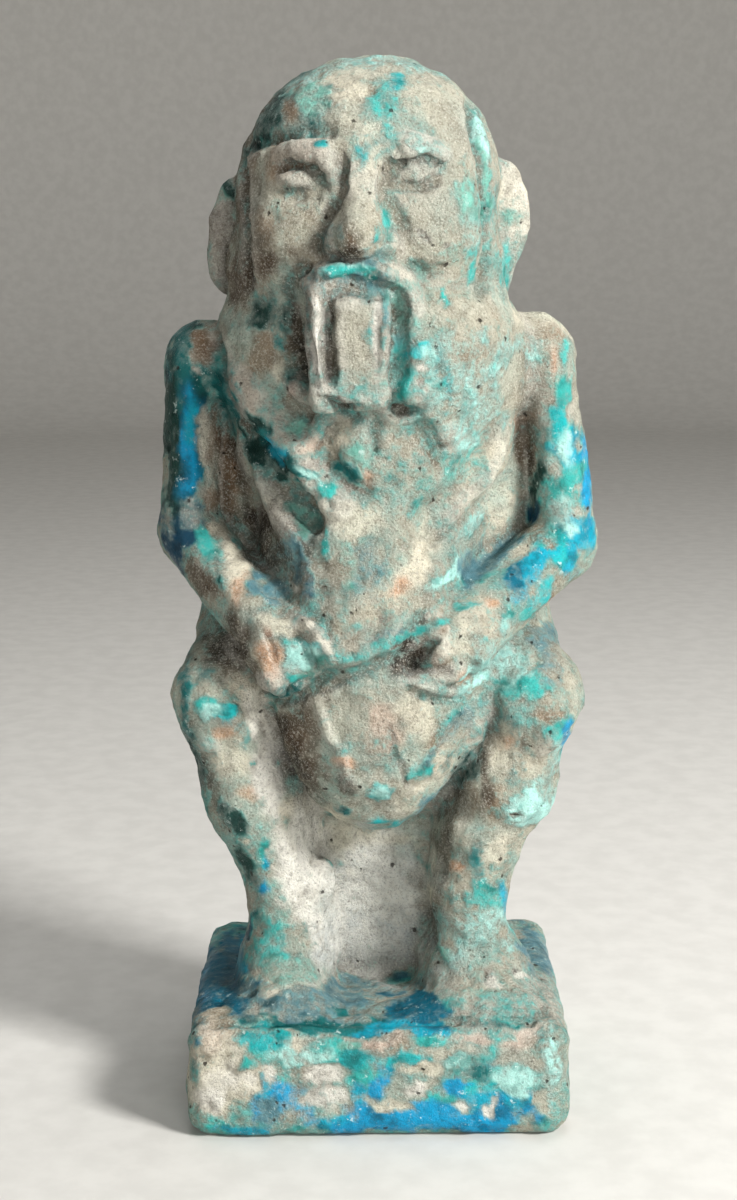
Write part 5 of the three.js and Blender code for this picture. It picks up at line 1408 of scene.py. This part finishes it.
def faience():
    """Worn sandy body under a patchy glossy glaze."""
    s = Shader("glazed_faience")
    grain = s.noise(*GRAIN)
    speckle = s.noise(*SPECKLE)
    mottle = s.noise(*MOTTLE)
    flecks_and_glints = s.noise(*FLECKS_AND_GLINTS)
    pinholes = s.sum(s.cells(PINHOLE_CELLS), (speckle, 0.5), -0.2)
    hole = s.span(pinholes, 0.15, 0.07)
    cover = s.sum(s.attribute("glaze", "Fac"), (grain, 0.5), (speckle, 0.9), (mottle, 0.8), -1.1)
    glazed = s.span(cover, *GLAZED)
    thin = s.span(cover, *THIN, 1.0, 0.0)
    # the body: dark and light lumps, then sand and dirt in the grain
    body = s.attribute("body_tint", "Color")
    for noise, start, end, strength, code in (
        (mottle, 0.50, 0.30, 0.35, "746a58"),
        (speckle, 0.50, 0.30, 0.35, "6f6553"),
        (speckle, 0.54, 0.72, 0.40, "d9d4c4"),
        (grain, 0.50, 0.68, 0.60, "ebe7da"),
        (grain, 0.48, 0.30, 0.60, "554b3c"),
    ):
        body = s.mix(s.span(noise, start, end, 0, strength), body, colour(code))
    # the glaze: greyer lumps, a pale veil where it is thin, dark grain, and bright flecks that are partly
    # pale grains and partly painted glints
    glass = s.attribute("glaze_tint", "Color")
    glass = s.mix(s.span(mottle, 0.50, 0.68, 0, 0.8), glass, colour("7fa5a2"), "MULTIPLY")
    glass = s.mix(s.product(thin, 0.30), glass, colour("c4ddd2"))
    glass = s.mix(s.product(s.span(speckle, 0.50, 0.70, 0, 0.5), thin), glass, colour("8ed3ca"))
    glass = s.mix(s.product(s.span(grain, 0.52, 0.70, 0, 0.7), thin), glass, colour("dcebe3"))
    glass = s.mix(s.span(grain, 0.50, 0.30, 0, 0.35), glass, colour("2c4a4c"))
    # painted glints: bright pale flecks in the glaze
    glass = s.mix(s.span(flecks_and_glints, 0.60, 0.66, 0, 0.6), glass, colour("dceee8"))
    skin_colour = s.mix(glazed, body, glass)
    skin_colour = s.mix(s.product(hole, PINHOLE_DIRT), skin_colour, colour(PINHOLE))
    height = s.sum((grain, 0.8), (flecks_and_glints, 0.5), (speckle, 0.8), (mottle, 0.7), (glazed, 0.3), (hole, -0.8))
    bump = s.nodes.new("ShaderNodeBump")
    bump.inputs["Distance"].default_value = BUMP_HEIGHT * MILLIMETRE
    s.link(height, bump.inputs["Height"])
    s.link(s.span(cover, 0.5, 1.1, BUMP_STRENGTH, BUMP_UNDER_GLAZE), bump.inputs["Strength"])
    rough = s.sum(ROUGH_BODY, (glazed, -GLAZE_GLOSS), (speckle, 0.12), (hole, 0.2))
    shader = s.nodes.new("ShaderNodeBsdfPrincipled")
    s.link(skin_colour, shader.inputs["Base Color"])
    s.link(rough, shader.inputs["Roughness"])
    s.link(bump.outputs["Normal"], shader.inputs["Normal"])
    shader.inputs["Specular IOR Level"].default_value = SPECULAR
    output = s.nodes.new("ShaderNodeOutputMaterial")
    s.link(shader.outputs["BSDF"], output.inputs["Surface"])
    return s.material


def figure():
    """The figure with its plinth, one piece."""
    mesh = bpy.data.meshes.new("bes_body")
    mesh.from_pydata((places * UNIT + [0, 0, PLINTH_HEIGHT * UNIT]).tolist(), [], quads.tolist())
    mesh.update()
    mesh.shade_smooth()
    for name, values in (("body_tint", skin.body), ("glaze_tint", skin.tint)):
        layer = mesh.attributes.new(name, "FLOAT_COLOR", "POINT")
        layer.data.foreach_set("color", np.column_stack([values, np.ones(len(values))]).ravel())
    layer = mesh.attributes.new("glaze", "FLOAT", "POINT")
    layer.data.foreach_set("value", skin.cover)
    piece = bpy.data.objects.new("bes_body", mesh)
    bpy.context.collection.objects.link(piece)
    mesh.materials.append(faience())
    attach(piece, "root")
    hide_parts("bes_figure")


def paper():
    """Plain studio paper with a faint grain."""
    s = Shader("floor_paper")
    fibre = s.span(s.noise(*FIBRE), 0.3, 0.7)
    shader = s.nodes.new("ShaderNodeBsdfPrincipled")
    s.link(s.mix(fibre, colour(PAPER), colour(PAPER_SHADE)), shader.inputs["Base Color"])
    shader.inputs["Roughness"].default_value = PAPER_ROUGHNESS
    output = s.nodes.new("ShaderNodeOutputMaterial")
    s.link(shader.outputs["BSDF"], output.inputs["Surface"])
    return s.material


def room():
    """A pale round floor that curves up into a wall all round."""
    profile = [(0.0, 0.0)]
    for k in range(CURVE_STEPS + 1):
        angle = math.pi / 2 * k / CURVE_STEPS
        out = FLOOR_RADIUS + CURVE_RADIUS * math.sin(angle)
        profile.append((out, CURVE_RADIUS * (1 - math.cos(angle))))
    profile.append((FLOOR_RADIUS + CURVE_RADIUS, WALL_TOP))
    corners = []
    for k in range(ROOM_SIDES):
        turn = 2 * math.pi * k / ROOM_SIDES
        corners += [(out * math.cos(turn), out * math.sin(turn), up) for out, up in profile]
    rows = len(profile)
    faces = []
    for k in range(ROOM_SIDES):
        here, beside = rows * k, rows * ((k + 1) % ROOM_SIDES)
        for j in range(1, rows - 1):
            faces.append((here + j, here + j + 1, beside + j + 1, beside + j))
    faces.append([rows * k + 1 for k in range(ROOM_SIDES)])
    mesh = bpy.data.meshes.new("floor")
    mesh.from_pydata(corners, [], faces)
    mesh.shade_smooth()
    piece = bpy.data.objects.new("floor", mesh)
    bpy.context.collection.objects.link(piece)
    mesh.materials.append(paper())


def lamp(name, place, size, power, tint):
    """A square soft light that looks at the middle of the figure."""
    light = bpy.data.lights.new(name, "AREA")
    light.size = size
    light.energy = power
    light.color = tint
    piece = bpy.data.objects.new(name, light)
    piece.location = place
    aim = Vector((0, 0, (node_low.z + node_high.z) / 2)) - piece.location
    piece.rotation_euler = aim.to_track_quat("-Z", "Y").to_euler()
    bpy.context.collection.objects.link(piece)


def studio():
    for name, settings in LAMPS.items():
        lamp(name, **settings)
    world = bpy.data.worlds.new("studio")
    world.use_nodes = True
    sky = world.node_tree.nodes["Background"]
    sky.inputs["Color"].default_value = SKY_TINT
    sky.inputs["Strength"].default_value = SKY_STRENGTH
    bpy.context.scene.world = world
    bpy.context.scene.view_settings.view_transform = "Standard"


def camera():
    """Looks down a little at the front, as the photograph does."""
    data = bpy.data.cameras.new("camera")
    data.sensor_width = SENSOR
    data.lens = LENS
    piece = bpy.data.objects.new("camera", data)
    piece.location = CAMERA_PLACE
    pitch = math.radians(CAMERA_PITCH)
    aim = Vector((0, math.cos(pitch), -math.sin(pitch))).to_track_quat("-Z", "Y")
    turn = Quaternion((0, 0, 1), math.radians(-CAMERA_ROLL))
    piece.rotation_mode = "QUATERNION"
    piece.rotation_quaternion = aim @ turn
    bpy.context.collection.objects.link(piece)
    bpy.context.scene.camera = piece


figure()
room()
studio()
camera()
